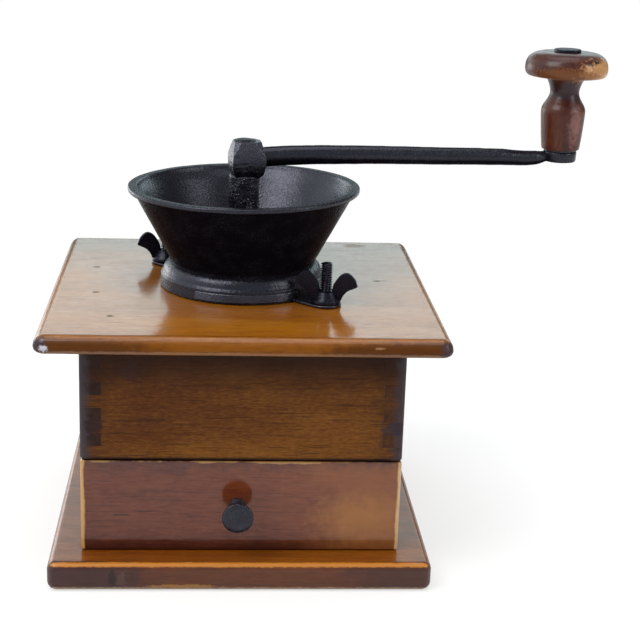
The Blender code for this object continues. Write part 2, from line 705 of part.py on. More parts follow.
def hopper_profile():
    lip_floor = LIP_HEIGHT - LIP_THICKNESS
    slope = (CONE_TOP_RADIUS - NECK_RADIUS) / (CONE_TOP_HEIGHT - NECK_HEIGHT)
    swell_width = FOOT_RADIUS - FOOT_BAND_STEP - NECK_RADIUS
    swell_height = NECK_HEIGHT - FOOT_BAND_HEIGHT
    outside = [
        (LIP_RADIUS - LIP_ROUND, LIP_HEIGHT), (LIP_RADIUS, LIP_HEIGHT - LIP_ROUND),
        (LIP_RADIUS, lip_floor + LIP_ROUND / 2), (LIP_RADIUS - LIP_ROUND, lip_floor),
        (CONE_TOP_RADIUS + LIP_THICKNESS, lip_floor - LIP_ROUND), (CONE_TOP_RADIUS, CONE_TOP_HEIGHT),
    ]
    outside += [(NECK_RADIUS + swell_width * across, FOOT_BAND_HEIGHT + swell_height * up)
                for across, up in FOOT_SWELL_SHARES]
    outside += [
        (FOOT_RADIUS, FOOT_BAND_HEIGHT - FOOT_BAND_STEP), (FOOT_RADIUS, 0.0), (THROAT_RADIUS, 0.0),
        (THROAT_RADIUS, -THROAT_DEPTH),
    ]
    funnel_radius = NECK_RADIUS - HOPPER_WALL - (NECK_HEIGHT - FUNNEL_FLOOR_HEIGHT) * slope
    inside = [
        (BURR_SEAT_RADIUS, -THROAT_DEPTH), (BURR_SEAT_RADIUS, -BURR_SEAT_DEPTH),
        (THROAT_BORE_RADIUS, -BURR_SEAT_DEPTH), (THROAT_BORE_RADIUS, HOPPER_WALL),
        (funnel_radius, FUNNEL_FLOOR_HEIGHT), (NECK_RADIUS - HOPPER_WALL, NECK_HEIGHT),
        (CONE_TOP_RADIUS - HOPPER_WALL, CONE_TOP_HEIGHT), (LIP_RADIUS - LIP_WIDTH - LIP_ROUND, lip_floor),
        (LIP_RADIUS - LIP_WIDTH, LIP_HEIGHT),
    ]
    return outside + inside


def build_hopper():
    hopper = turned("hopper", hopper_profile(), FINE_STEPS, location=(0.0, 0.0, FOOT_LEVEL), closed=True)
    for name, (x, y) in bolt_places():
        angle = math.atan2(y, x)
        points = [(NECK_RADIUS, LUG_RADIUS), (NECK_RADIUS, -LUG_RADIUS)]
        points += arc((BOLT_CIRCLE_RADIUS, 0.0), LUG_RADIUS, math.radians(-90), math.radians(90), 10)
        lug = plate("lug_" + name, points, LUG_THICKNESS, location=(0.0, 0.0, FOOT_LEVEL + LUG_THICKNESS / 2),
                    rotation=(0.0, 0.0, angle))
        combine(hopper, lug, "UNION")
    reach = (THROAT_BORE_RADIUS + BURR_SEAT_RADIUS) / 2
    spider_floor = SPIDER_RISE - BURR_SEAT_DEPTH
    bush_floor = BUSH_RISE - BURR_SEAT_DEPTH
    bar = box("spider_bar", (-reach, -SPIDER_WIDTH / 2, spider_floor),
              (reach, SPIDER_WIDTH / 2, spider_floor + SPIDER_HEIGHT), location=(0.0, 0.0, FOOT_LEVEL),
              rotation=(0.0, 0.0, BOLT_ANGLE))
    combine(hopper, bar, "UNION")
    bush = cylinder("spider_bush", BUSH_RADIUS, bush_floor, BUSH_HEIGHT, MEDIUM_STEPS,
                    location=(0.0, 0.0, FOOT_LEVEL))
    combine(hopper, bush, "UNION")
    bore = cylinder("spider_bore", SPINDLE_NECK_RADIUS + SHAFT_CLEARANCE, bush_floor - CUT_OVERRUN,
                    BUSH_HEIGHT + CUT_OVERRUN, MEDIUM_STEPS, location=(0.0, 0.0, FOOT_LEVEL))
    combine(hopper, bore, "DIFFERENCE")
    for name, place in bolt_places():
        hole = cylinder("lug_hole_" + name, BOLT_RADIUS + SHAFT_CLEARANCE, -CUT_OVERRUN,
                        LUG_THICKNESS + CUT_OVERRUN, SMALL_STEPS, location=(*place, FOOT_LEVEL))
        combine(hopper, hole, "DIFFERENCE")
    return finish(hopper, BLACK_IRON)


# Bridge bolts, washers and wing nuts


def build_bolt(name, place):
    head_top = BRIDGE_CEILING - BRIDGE_THICKNESS - SEAT_GAP
    profile = [
        (0.0, BOLT_TOP), (BOLT_RADIUS - BOLT_TIP_CHAMFER, BOLT_TOP),
        (BOLT_RADIUS, BOLT_TOP - BOLT_TIP_CHAMFER), (BOLT_RADIUS, head_top - BOLT_HEAD_HEIGHT / 2),
        (0.0, head_top - BOLT_HEAD_HEIGHT / 2),
    ]
    bolt = turned("bridge_bolt_" + name, profile, SMALL_STEPS, location=(*place, 0.0))
    head = cylinder("bolt_head_" + name, BOLT_HEAD_RADIUS, head_top - BOLT_HEAD_HEIGHT, head_top, 6,
                    location=(*place, 0.0), rotation=(0.0, 0.0, BOLT_ANGLE))
    return finish(combine(bolt, head, "UNION"), BLACK_IRON)


def build_washer(name, radius, bore, floor, thickness, axis, steps):
    profile = [(radius, floor + thickness), (radius, floor), (bore, floor), (bore, floor + thickness)]
    washer = turned(name, profile, steps, axis, closed=True)
    return finish(washer, BARE_STEEL)


def build_wing_nut(name, axis):
    profile = [
        (0.0, NUT_FLOOR + NUT_HEIGHT), (NUT_TOP_RADIUS - NUT_ROUND, NUT_FLOOR + NUT_HEIGHT),
        (NUT_TOP_RADIUS, NUT_FLOOR + NUT_HEIGHT - NUT_ROUND), (NUT_BASE_RADIUS, NUT_FLOOR + NUT_ROUND),
        (NUT_BASE_RADIUS - NUT_ROUND, NUT_FLOOR), (0.0, NUT_FLOOR),
    ]
    nut = turned("wing_nut_" + name, profile, MEDIUM_STEPS, axis)
    for side in (-1, 1):
        points = [(side * WING_REACH * across, NUT_FLOOR + WING_HEIGHT * up)
                  for across, up in WING_OUTLINE_SHARES]
        wing = plate("wing_%s_%d" % (name, side), points, WING_THICKNESS, axis, rotation=FACING_FRONT)
        bevel_edges(wing, WING_EDGE, 2)
        combine(nut, wing, "UNION")
    bore = cylinder("wing_nut_bore_" + name, BOLT_RADIUS + SHAFT_CLEARANCE, NUT_FLOOR - CUT_OVERRUN,
                    NUT_FLOOR + WING_HEIGHT + CUT_OVERRUN, SMALL_STEPS, axis)
    combine(nut, bore, "DIFFERENCE")
    return finish(nut, BLACK_IRON)


# Bridge, adjusting screw and thrust ball


def bridge_outline():
    # The strap's edge line: down the inner side, back along the outer side
    foot_end = BOLT_CIRCLE_RADIUS + BRIDGE_FOOT_END
    run = (BRIDGE_KNEE - BRIDGE_BAR_HALF) / BRIDGE_DROP
    shift = BRIDGE_THICKNESS * math.hypot(1.0, run)
    foot_floor = BRIDGE_CEILING - BRIDGE_THICKNESS
    inner = [(foot_end, BRIDGE_CEILING), (BRIDGE_KNEE, BRIDGE_CEILING), (BRIDGE_BAR_HALF, BAR_TOP)]
    outer = [(BRIDGE_BAR_HALF + shift - run * BRIDGE_THICKNESS, BAR_FLOOR),
             (BRIDGE_KNEE + shift - run * BRIDGE_THICKNESS, foot_floor), (foot_end, foot_floor)]
    left = [(-s, z) for s, z in reversed(inner)]
    right = [(-s, z) for s, z in reversed(outer)]
    return inner + left + right + outer


def build_bridge():
    turn = (math.radians(90), 0.0, BOLT_ANGLE)
    bridge = plate("bridge", bridge_outline(), BRIDGE_WIDTH, rotation=turn)
    bevel_edges(bridge, BRIDGE_EDGE, 1)
    boss = cylinder("bridge_boss", BOSS_RADIUS, BOSS_FLOOR, BOSS_TOP, MEDIUM_STEPS)
    combine(bridge, boss, "UNION")
    bore = cylinder("bridge_boss_bore", ADJUSTER_RADIUS + SHAFT_CLEARANCE, BOSS_FLOOR - CUT_OVERRUN,
                    BOSS_TOP + CUT_OVERRUN, SMALL_STEPS)
    combine(bridge, bore, "DIFFERENCE")
    for name, place in bolt_places():
        hole = cylinder("bridge_hole_" + name, BOLT_RADIUS + SHAFT_CLEARANCE,
                        BRIDGE_CEILING - BRIDGE_THICKNESS - CUT_OVERRUN, BRIDGE_CEILING + CUT_OVERRUN,
                        SMALL_STEPS, location=(*place, 0.0))
        combine(bridge, hole, "DIFFERENCE")
    return finish(bridge, BLACK_IRON)


def build_adjuster(axis):
    head_top = BOSS_FLOOR - ADJUSTER_SHANK_BELOW
    head_floor = head_top - ADJUSTER_HEAD_HEIGHT
    pocket = BALL_RADIUS + SHAFT_CLEARANCE
    pocket_floor = ADJUSTER_TOP - BALL_POCKET_DEPTH
    profile = [
        (0.0, pocket_floor), (pocket, pocket_floor), (pocket, ADJUSTER_TOP), (ADJUSTER_RADIUS, ADJUSTER_TOP),
        (ADJUSTER_RADIUS, head_top - SEAT_GAP), (0.0, head_top - SEAT_GAP),
    ]
    screw = turned("adjusting_screw", profile, SMALL_STEPS, axis)
    head = cylinder("adjuster_head", ADJUSTER_HEAD_RADIUS, head_floor, head_top, 6, axis)
    combine(screw, head, "UNION")
    finish(screw, BARE_STEEL)

    ball_mesh = bpy.data.meshes.new("thrust_ball")
    shape = bmesh.new()
    bmesh.ops.create_uvsphere(shape, u_segments=SMALL_STEPS, v_segments=TINY_STEPS, radius=BALL_RADIUS)
    shape.to_mesh(ball_mesh)
    shape.free()
    ball = add_object("thrust_ball", ball_mesh, (0.0, 0.0, BALL_LEVEL), (0.0, 0.0, 0.0), None, grinder)
    return finish(ball, BARE_STEEL)


def build_lock_nut(washer_axis, nut_axis):
    bore = ADJUSTER_RADIUS + SHAFT_CLEARANCE
    washer_floor = BOSS_FLOOR - SEAT_GAP - LOCK_WASHER_THICKNESS
    build_washer("lock_washer", LOCK_WASHER_RADIUS, bore, washer_floor, LOCK_WASHER_THICKNESS, washer_axis,
                 SMALL_STEPS)
    nut_top = washer_floor - SEAT_GAP
    nut_floor = nut_top - LOCK_NUT_HEIGHT
    nut = cylinder("lock_nut", LOCK_NUT_RADIUS, nut_floor, nut_top, 6, nut_axis)
    hole = cylinder("lock_nut_bore", bore, nut_floor - CUT_OVERRUN, nut_top + CUT_OVERRUN, SMALL_STEPS,
                    nut_axis)
    return finish(combine(nut, hole, "DIFFERENCE"), BARE_STEEL)


# Burrs


def fluted_cone(name, teeth, depth, bottom, top, parent, twist):
    # A loft of toothed rings; bottom and top are pairs of crest radius and height, and depth is the
    # way from crest to valley, outwards when it is below zero
    shape = bmesh.new()
    rings = []
    for level in range(BURR_LEVELS):
        share = level / (BURR_LEVELS - 1)
        crest = bottom[0] + (top[0] - bottom[0]) * share
        height = bottom[1] + (top[1] - bottom[1]) * share
        ring = []
        for index in range(2 * teeth):
            angle = math.pi * index / teeth + twist * share
            radius = crest if index % 2 == 0 else crest - depth
            ring.append(shape.verts.new((radius * math.cos(angle), radius * math.sin(angle), height)))
        rings.append(ring)
    for low, high in zip(rings, rings[1:]):
        for index in range(2 * teeth):
            after = (index + 1) % (2 * teeth)
            shape.faces.new((low[index], low[after], high[after], high[index]))
    floor = shape.verts.new((0.0, 0.0, bottom[1]))
    roof = shape.verts.new((0.0, 0.0, top[1]))
    for index in range(2 * teeth):
        after = (index + 1) % (2 * teeth)
        shape.faces.new((rings[0][after], rings[0][index], floor))
        shape.faces.new((rings[-1][index], rings[-1][after], roof))
    mesh = bpy.data.meshes.new(name)
    shape.to_mesh(mesh)
    shape.free()
    return add_object(name, mesh, (0.0, 0.0, 0.0), (0.0, 0.0, 0.0), parent, grinder)


def build_outer_burr():
    floor = THROAT_FLOOR + SEAT_GAP
    roof = floor + OUTER_BURR_HEIGHT
    ring = cylinder("outer_burr", BURR_SEAT_RADIUS - SEAT_GAP, floor, roof, FINE_STEPS)
    slope = (OUTER_BURR_TOP_CREST - OUTER_BURR_BOTTOM_CREST) / OUTER_BURR_HEIGHT
    bottom = (OUTER_BURR_BOTTOM_CREST - slope * CUT_OVERRUN, floor - CUT_OVERRUN)
    top = (OUTER_BURR_TOP_CREST + slope * CUT_OVERRUN, roof + CUT_OVERRUN)
    core = fluted_cone("outer_burr_core", OUTER_BURR_TEETH, -BURR_TOOTH_DEPTH, bottom, top, None,
                       OUTER_BURR_TWIST)
    return finish(combine(ring, core, "DIFFERENCE"), BURR_IRON)


def build_inner_burr(axis):
    floor = INNER_BURR_FLOOR
    roof = floor + INNER_BURR_HEIGHT
    bottom_crest = OUTER_BURR_BOTTOM_CREST - BURR_SLIT
    burr = fluted_cone("inner_burr", INNER_BURR_TEETH, BURR_TOOTH_DEPTH, (bottom_crest, floor),
                       (INNER_BURR_TOP_CREST, roof), axis, INNER_BURR_TWIST)
    bore = cylinder("inner_burr_bore", SPINDLE_NECK_RADIUS + SEAT_GAP, floor - CUT_OVERRUN,
                    roof + CUT_OVERRUN, MEDIUM_STEPS, axis)
    combine(burr, bore, "DIFFERENCE")
    half = BURR_PIN_RADIUS + SEAT_GAP
    reach = BURR_PIN_LENGTH / 2 + SEAT_GAP
    slot = box("burr_pin_slot", (-reach, -half, floor - CUT_OVERRUN), (reach, half, floor + 2 * half), axis)
    combine(burr, slot, "DIFFERENCE")
    finish(burr, BURR_IRON)

    pin_level = floor + half
    pin = cylinder("burr_pin", BURR_PIN_RADIUS, -BURR_PIN_LENGTH / 2, BURR_PIN_LENGTH / 2, TINY_STEPS, axis,
                   (0.0, 0.0, pin_level), (0.0, math.radians(90), 0.0))
    return finish(pin, BARE_STEEL)


# Spindle, crank and grip


def build_spindle(axis):
    neck = SPINDLE_NECK_RADIUS
    shoulder = HUB_BOTTOM - SEAT_GAP
    profile = [
        (0.0, shoulder), (SPINDLE_RADIUS - SPINDLE_ROUND, shoulder),
        (SPINDLE_RADIUS, shoulder - SPINDLE_ROUND), (SPINDLE_RADIUS, SPINDLE_SHOULDER + SPINDLE_ROUND),
        (SPINDLE_RADIUS - SPINDLE_ROUND, SPINDLE_SHOULDER), (neck, SPINDLE_SHOULDER), (neck, SPINDLE_FLOOR),
        (0.0, SPINDLE_FLOOR),
    ]
    spindle = turned("spindle", profile, MEDIUM_STEPS, axis)
    peen_floor = HUB_TOP + SEAT_GAP
    tenon = box("tenon", (-TENON_HALF, -TENON_HALF, shoulder - CUT_OVERRUN),
                (TENON_HALF, TENON_HALF, peen_floor + PEEN_HEIGHT / 2), axis)
    combine(spindle, tenon, "UNION")
    crown = peen_floor + PEEN_HEIGHT
    dome = [(0.0, crown), (PEEN_RADIUS / 2, crown - PEEN_HEIGHT * PEEN_FALL_SHARE),
            (PEEN_RADIUS, peen_floor + PEEN_HEIGHT / 3), (PEEN_RADIUS, peen_floor), (0.0, peen_floor)]
    peen = turned("peened_end", dome, SMALL_STEPS, axis)
    combine(spindle, peen, "UNION")
    bore_half = SPINDLE_NECK_RADIUS + CUT_OVERRUN
    bore = cylinder("spindle_pin_bore", BURR_PIN_RADIUS + SEAT_GAP, -bore_half, bore_half, TINY_STEPS, axis,
                    (0.0, 0.0, INNER_BURR_FLOOR + BURR_PIN_RADIUS + SEAT_GAP), (0.0, math.radians(90), 0.0))
    combine(spindle, bore, "DIFFERENCE")
    return finish(spindle, BLACK_IRON)


def build_hub(axis):
    diagonal = math.sqrt(2.0)
    square = [(HUB_HALF_WIDTH * width * diagonal, HUB_BOTTOM + HUB_HEIGHT * up)
              for up, width in reversed(HUB_PROFILE_SHARES)]
    square = [(0.0, square[0][1])] + square + [(0.0, square[-1][1])]
    place = (HUB_OFFSET, 0.0, 0.0)
    hub = turned("crank_arm", square, 4, axis, place, (0.0, 0.0, math.radians(45)))
    corners = [(HUB_HALF_WIDTH * width * diagonal, HUB_BOTTOM + HUB_HEIGHT * up)
               for up, width in reversed(HUB_CORNER_SHARES)]
    corners = [(0.0, corners[0][1])] + corners + [(0.0, corners[-1][1])]
    facets = turned("hub_corner_facets", corners, 4, axis, place)
    return combine(hub, facets, "INTERSECT")


def build_arm(axis):
    # A tapering bar swept along a shallow arch; its round section is then narrowed
    curve = bpy.data.curves.new("arm", "CURVE")
    curve.dimensions = "3D"
    curve.bevel_depth = ARM_ROOT_HEIGHT / 2
    curve.bevel_resolution = 4
    curve.resolution_u = 4
    curve.use_fill_caps = True
    spline = curve.splines.new("BEZIER")
    spline.bezier_points.add(len(ARM_SHARES) - 1)
    length = CRANK_RADIUS - ARM_TIP_INSET - ARM_ROOT
    for point, (along, rise, size) in zip(spline.bezier_points, ARM_SHARES):
        point.co = (ARM_ROOT + length * along, 0.0, HUB_BOTTOM + ARM_ROOT_LEVEL + ARM_ROOT_HEIGHT * rise)
        point.radius = size
        point.handle_left_type = "AUTO"
        point.handle_right_type = "AUTO"
    arm = curve_to_mesh(curve, "arm", axis, (0.0, 0.0, 0.0), (0.0, 0.0, 0.0))
    arm.data.transform(Matrix.Diagonal((1.0, ARM_WIDTH_SHARE, 1.0, 1.0)))
    return arm


def build_crank(axis):
    crank = build_hub(axis)
    combine(crank, build_arm(axis), "UNION")
    edge = EYE_EDGE
    profile = [
        (0.0, EYE_TOP), (EYE_RADIUS - edge, EYE_TOP), (EYE_RADIUS, EYE_TOP - edge),
        (EYE_RADIUS, EYE_BOTTOM + edge), (EYE_RADIUS - edge, EYE_BOTTOM), (0.0, EYE_BOTTOM),
    ]
    eye = turned("eye", profile, MEDIUM_STEPS, axis, (CRANK_RADIUS, 0.0, 0.0))
    combine(crank, eye, "UNION")
    half = TENON_HALF + SEAT_GAP
    socket = box("tenon_socket", (-half, -half, HUB_BOTTOM - CUT_OVERRUN),
                 (half, half, HUB_TOP + CUT_OVERRUN), axis)
    combine(crank, socket, "DIFFERENCE")
    rivet_hole = cylinder("rivet_hole", RIVET_RADIUS + SEAT_GAP, EYE_BOTTOM - CUT_OVERRUN,
                          EYE_TOP + CUT_OVERRUN, SMALL_STEPS, axis, (CRANK_RADIUS, 0.0, 0.0))
    combine(crank, rivet_hole, "DIFFERENCE")
    return finish(crank, BLACK_IRON)


def build_grip(axis):
    outside = [(GRIP_RADIUS * radius, GRIP_FLOOR + GRIP_HEIGHT * height)
               for radius, height in GRIP_PROFILE_SHARES]
    profile = outside + [(GRIP_BORE_RADIUS, GRIP_FLOOR), (GRIP_BORE_RADIUS, GRIP_TOP)]
    grip = turned("grip", profile, FINE_STEPS, axis, closed=True)
    finish(grip, RED_WOOD)
    build_washer("grip_washer", GRIP_WASHER_RADIUS, GRIP_BORE_RADIUS, GRIP_WASHER_FLOOR,
                 GRIP_WASHER_THICKNESS, axis, MEDIUM_STEPS)


def build_grip_pin(axis):
    head_floor = GRIP_TOP + SEAT_GAP
    head_top = head_floor + RIVET_HEAD_HEIGHT
    edge = RIVET_HEAD_ROUND
    profile = [
        (0.0, head_top), (RIVET_HEAD_RADIUS - edge, head_top), (RIVET_HEAD_RADIUS, head_top - edge),
        (RIVET_HEAD_RADIUS, head_floor), (RIVET_RADIUS, head_floor), (RIVET_RADIUS, EYE_BOTTOM - edge),
        (0.0, EYE_BOTTOM - edge),
    ]
    pin = turned("grip_pin", profile, SMALL_STEPS, axis, (CRANK_RADIUS, 0.0, 0.0))
    return finish(pin, BLACK_IRON)


# The whole grinder


def build_case():
    build_base_board()
    build_side_wall("side_wall_left", -1)
    build_side_wall("side_wall_right", 1)
    build_end_wall("rear_wall", 1, WALL_FLOOR, REAR_FINGERS)
    build_end_wall("front_rail", -1, RAIL_FLOOR, RAIL_FINGERS)
    build_top_board()
    build_glue_block("glue_block_left", -1)
    build_glue_block("glue_block_right", 1)
    for index, (x, y) in enumerate(screw_places()):
        build_base_screw(index + 1, x, y)


def build_clamps():
    turns = {"front": FRONT_NUT_TURN, "rear": REAR_NUT_TURN}
    for name, place in bolt_places():
        build_bolt(name, place)
        axis = add_axis("bolt_axis_" + name, (*place, 0.0))
        build_washer("washer_" + name, WASHER_RADIUS, BOLT_RADIUS + SHAFT_CLEARANCE, WASHER_FLOOR,
                     WASHER_THICKNESS, axis, MEDIUM_STEPS)
        nut_axis = add_axis("wing_nut_axis_" + name, (0.0, 0.0, 0.0), turns[name], axis)
        build_wing_nut(name, nut_axis)


def build_mechanism():
    build_outer_burr()
    build_bridge()
    build_adjuster(add_axis("adjuster_axis", (0.0, 0.0, 0.0)))
    washer_axis = add_axis("lock_washer_axis", (0.0, 0.0, 0.0))
    build_lock_nut(washer_axis, add_axis("lock_nut_axis", (0.0, 0.0, 0.0), BOLT_ANGLE, washer_axis))
    crank_axis = add_axis("crank_axis", (0.0, 0.0, 0.0), CRANK_ANGLE)
    build_inner_burr(crank_axis)
    build_spindle(crank_axis)
    build_crank(crank_axis)
    build_grip_pin(crank_axis)
    build_grip(add_axis("grip_axis", (CRANK_RADIUS, 0.0, 0.0), 0.0, crank_axis))


build_case()
drawer_axis = add_axis("drawer_axis", (0.0, 0.0, 0.0))
build_drawer(drawer_axis)
build_knob(drawer_axis)
build_hopper()
build_clamps()
build_mechanism()
bpy.context.view_layer.update()
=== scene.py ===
# Manual coffee grinder: the look of every piece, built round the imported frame
# Metres, +Z up. The drawer opens towards -Y and the crank rests towards +X.

import json
import math

import bmesh
import bpy
from mathutils import Matrix, Vector

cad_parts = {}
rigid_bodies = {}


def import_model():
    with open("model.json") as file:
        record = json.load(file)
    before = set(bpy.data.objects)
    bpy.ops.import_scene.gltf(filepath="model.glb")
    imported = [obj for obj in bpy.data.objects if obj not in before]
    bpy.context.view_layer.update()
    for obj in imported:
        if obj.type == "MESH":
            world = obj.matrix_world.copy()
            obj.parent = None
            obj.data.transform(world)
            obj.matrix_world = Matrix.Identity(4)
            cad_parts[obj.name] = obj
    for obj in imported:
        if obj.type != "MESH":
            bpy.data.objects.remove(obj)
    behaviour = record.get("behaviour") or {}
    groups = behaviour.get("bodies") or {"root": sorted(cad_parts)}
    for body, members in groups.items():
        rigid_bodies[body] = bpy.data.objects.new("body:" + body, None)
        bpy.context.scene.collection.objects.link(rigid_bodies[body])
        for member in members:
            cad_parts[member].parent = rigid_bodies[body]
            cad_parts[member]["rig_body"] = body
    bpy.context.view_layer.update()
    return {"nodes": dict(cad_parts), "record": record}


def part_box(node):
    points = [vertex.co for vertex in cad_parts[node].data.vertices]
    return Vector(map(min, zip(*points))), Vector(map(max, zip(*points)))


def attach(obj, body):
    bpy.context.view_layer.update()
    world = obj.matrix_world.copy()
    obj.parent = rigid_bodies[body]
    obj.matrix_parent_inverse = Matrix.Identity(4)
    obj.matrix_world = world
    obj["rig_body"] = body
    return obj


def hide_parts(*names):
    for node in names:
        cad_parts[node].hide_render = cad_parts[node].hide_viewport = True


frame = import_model()
nodes = frame["nodes"]
slotOf = {part["node"]: part["material_slot"] for part in frame["record"]["subparts"]}
scene = bpy.context.scene
print("frame: %d nodes" % len(nodes))


# Node helpers


def addNode(tree, kind, inputs=None, **settings):
    made = tree.nodes.new(kind)
    for key, value in settings.items():
        setattr(made, key, value)
    feedAll(tree, made, inputs or {})
    return made


def feedAll(tree, node, inputs):
    for key, value in inputs.items():
        feed(tree, node.inputs[key], value)


def feed(tree, socket, value):
    if isinstance(value, bpy.types.NodeSocket):
        tree.links.new(value, socket)
    elif socket.type == "RGBA":
        socket.default_value = (*value, 1.0)
    else:
        socket.default_value = value


def calc(tree, operation, first, second=0.0):
    return addNode(tree, "ShaderNodeMath", {0: first, 1: second}, operation=operation).outputs[0]


def plus(tree, first, second):
    return calc(tree, "ADD", first, second)


def minus(tree, first, second):
    return calc(tree, "SUBTRACT", first, second)


def times(tree, first, second):
    return calc(tree, "MULTIPLY", first, second)


def vectorCalc(tree, operation, first, second):
    return addNode(tree, "ShaderNodeVectorMath", {0: first, 1: second}, operation=operation).outputs[0]


def scaled(tree, vector, share):
    return addNode(tree, "ShaderNodeVectorMath", {0: vector, "Scale": share}, operation="SCALE").outputs[0]


def lengthOf(tree, vector):
    return addNode(tree, "ShaderNodeVectorMath", {0: vector}, operation="LENGTH").outputs["Value"]


def splitUp(tree, vector):
    return addNode(tree, "ShaderNodeSeparateXYZ", {0: vector}).outputs


def remap(tree, value, low, high, newLow=0.0, newHigh=1.0):
    inputs = {"Value": value, "From Min": low, "From Max": high, "To Min": newLow, "To Max": newHigh}
    return addNode(tree, "ShaderNodeMapRange", inputs, interpolation_type="SMOOTHSTEP").outputs["Result"]


def noiseAt(tree, place, scale, detail=2.0, rough=0.5, output=0):
    inputs = {"Vector": place, "Scale": scale, "Detail": detail, "Roughness": rough}
    return addNode(tree, "ShaderNodeTexNoise", inputs).outputs[output]


def swing(tree, noise, depth):
    # A noise of 0 to 1 as a change of up to half the depth either way
    return times(tree, minus(tree, noise, 0.5), depth)


def wobble(tree, place, scale, detail=2.0):
    # A noise that moves a place by up to a half along each axis
    noise = noiseAt(tree, place, scale, detail, output="Color")
    return vectorCalc(tree, "SUBTRACT", noise, (0.5, 0.5, 0.5))


def mixColours(tree, factor, first, second):
    return addNode(tree, "ShaderNodeMix", {0: factor, 6: first, 7: second}, data_type="RGBA").outputs[2]


def bumpFrom(tree, height, strength, distance):
    inputs = {"Height": height, "Strength": strength, "Distance": distance}
    return addNode(tree, "ShaderNodeBump", inputs).outputs["Normal"]


def newMaterial(name):
    material = bpy.data.materials.new(name)
    material.use_nodes = True
    tree = material.node_tree
    return material, tree, tree.nodes["Principled BSDF"]


# Wood

# Its noises: length along the grain as a share, scale, detail and roughness
woodNoises = dict(
    pore=(0.03, 1500.0, 1.0, 0.5), blotch=(0.4, 16.0, 3.0, 0.55), fleck=(0.24, 900.0, 3.0, 0.65),
    brush=(0.22, 90.0, 3.0, 0.6))
ringStretch, fibreStretch = 0.035, 0.07


def makeWood(name, look):
    material, tree, shader = newMaterial(name)
    coords = addNode(tree, "ShaderNodeTexCoord").outputs
    place, facing = coords["Object"], splitUp(tree, coords["Normal"])
    grain = look["grain"]

    def alongGrain(share):
        return vectorCalc(tree, "MULTIPLY", place, [share if axis == grain else 1.0 for axis in range(3)])

    def grainNoise(kind):
        share, scale, detail, rough = woodNoises[kind]
        return noiseAt(tree, alongGrain(share), look.get(kind + "Scale", scale), detail, rough)

    stretched = alongGrain(ringStretch)
    warp = scaled(tree, wobble(tree, stretched, 14.0, 3.0), look["warp"])
    bent = vectorCalc(tree, "ADD", stretched, warp)
    fromHeart = lengthOf(tree, vectorCalc(tree, "SUBTRACT", bent, look["heart"]))
    year = calc(tree, "FRACT", calc(tree, "DIVIDE", fromHeart, look["yearRing"]))
    lateWood = minus(tree, remap(tree, year, 0.35, 0.86), remap(tree, year, 0.90, 0.99))
    fibrePlace = vectorCalc(tree, "ADD", alongGrain(fibreStretch), scaled(tree, warp, 0.25))
    fibre = noiseAt(tree, fibrePlace, 950.0, 4.0, 0.7)
    figure = noiseAt(tree, bent, 210.0, 3.0, 0.6)
    fleck = grainNoise("fleck")

    tone = plus(tree, times(tree, lateWood, -look["ringDepth"]), 0.5 + 0.35 * look["ringDepth"])
    depths = {"fibreDepth": fibre, "figureDepth": figure, "blotchDepth": grainNoise("blotch"),
              "fleckDepth": fleck}
    for depth, noise in depths.items():
        tone = plus(tree, tone, swing(tree, noise, look[depth]))
    ramp = addNode(tree, "ShaderNodeValToRGB", {"Fac": tone})
    first, *between, last = [(*stop, 1.0) for stop in look["colours"]]
    ramp.color_ramp.elements[0].color = first
    ramp.color_ramp.elements[1].color = last
    for index, stop in enumerate(between, 1):
        ramp.color_ramp.elements.new(index / (len(between) + 1)).color = stop
    poreMask = remap(tree, grainNoise("pore"), 0.60, 0.72)
    poreShare = times(tree, poreMask, look["poreDepth"])
    colour = mixColours(tree, poreShare, ramp.outputs["Color"], look["poreColour"])

    # Where the grain runs into the surface it shows as end grain
    endGrain = remap(tree, calc(tree, "ABSOLUTE", facing[grain]), 0.55, 0.9)
    endNoise = remap(tree, noiseAt(tree, place, 420.0, 3.0, 0.7), 0.35, 0.65)
    colour = mixColours(tree, endGrain, colour, mixColours(tree, endNoise, *look["endColours"]))
    # Bands of real wear and stain, and bands of painted shade and light
    for bandOfWearAndLight in look["bandsOfWearAndLight"]:
        colour = mixColours(tree, bandMask(tree, place, bandOfWearAndLight), colour, bandOfWearAndLight["colour"])
    for mark in look["marks"]:
        colour = mixColours(tree, spotMask(tree, place, mark), colour, mark["colour"])

    # Varnish lies thinner on the edges and sides than on the flats, and pits have none
    upright = calc(tree, "ABSOLUTE", facing["Z"])
    coat = remap(tree, upright, 0.3, 0.94, look["sideCoat"], look["coat"])
    coat = times(tree, coat, remap(tree, fleck, 0.34, 0.62, 0.8, 1.0))
    for pit in look["pits"]:
        hollow = spotMask(tree, place, pit)
        colour = mixColours(tree, hollow, colour, pit["colour"])
        coat = times(tree, coat, minus(tree, 1.0, hollow))
    scuff = noiseAt(tree, place, 55.0, 4.0, 0.65)
    relief = minus(tree, times(tree, fibre, 0.5), poreMask)
    film = minus(tree, grainNoise("brush"), times(tree, poreMask, 0.08))
    feedAll(tree, shader, {
        "Base Color": colour, "Roughness": remap(tree, scuff, 0.3, 0.7, *look["roughness"]),
        "Specular IOR Level": look["specular"], "Normal": bumpFrom(tree, relief, 0.35, 0.00012),
        "Coat Weight": coat, "Coat Roughness": look["coatRoughness"], "Coat IOR": 1.5,
        "Coat Normal": bumpFrom(tree, film, look["filmRelief"], 0.0009)})
    return material


def band(axis, at, inward, width, colour, strength=0.8, scale=130.0, ragged=2.2):
    # A ragged band that fades inward from a plane across one axis
    return dict(axis=axis, at=at, inward=inward, width=width, colour=colour, strength=strength, scale=scale,
                ragged=ragged)


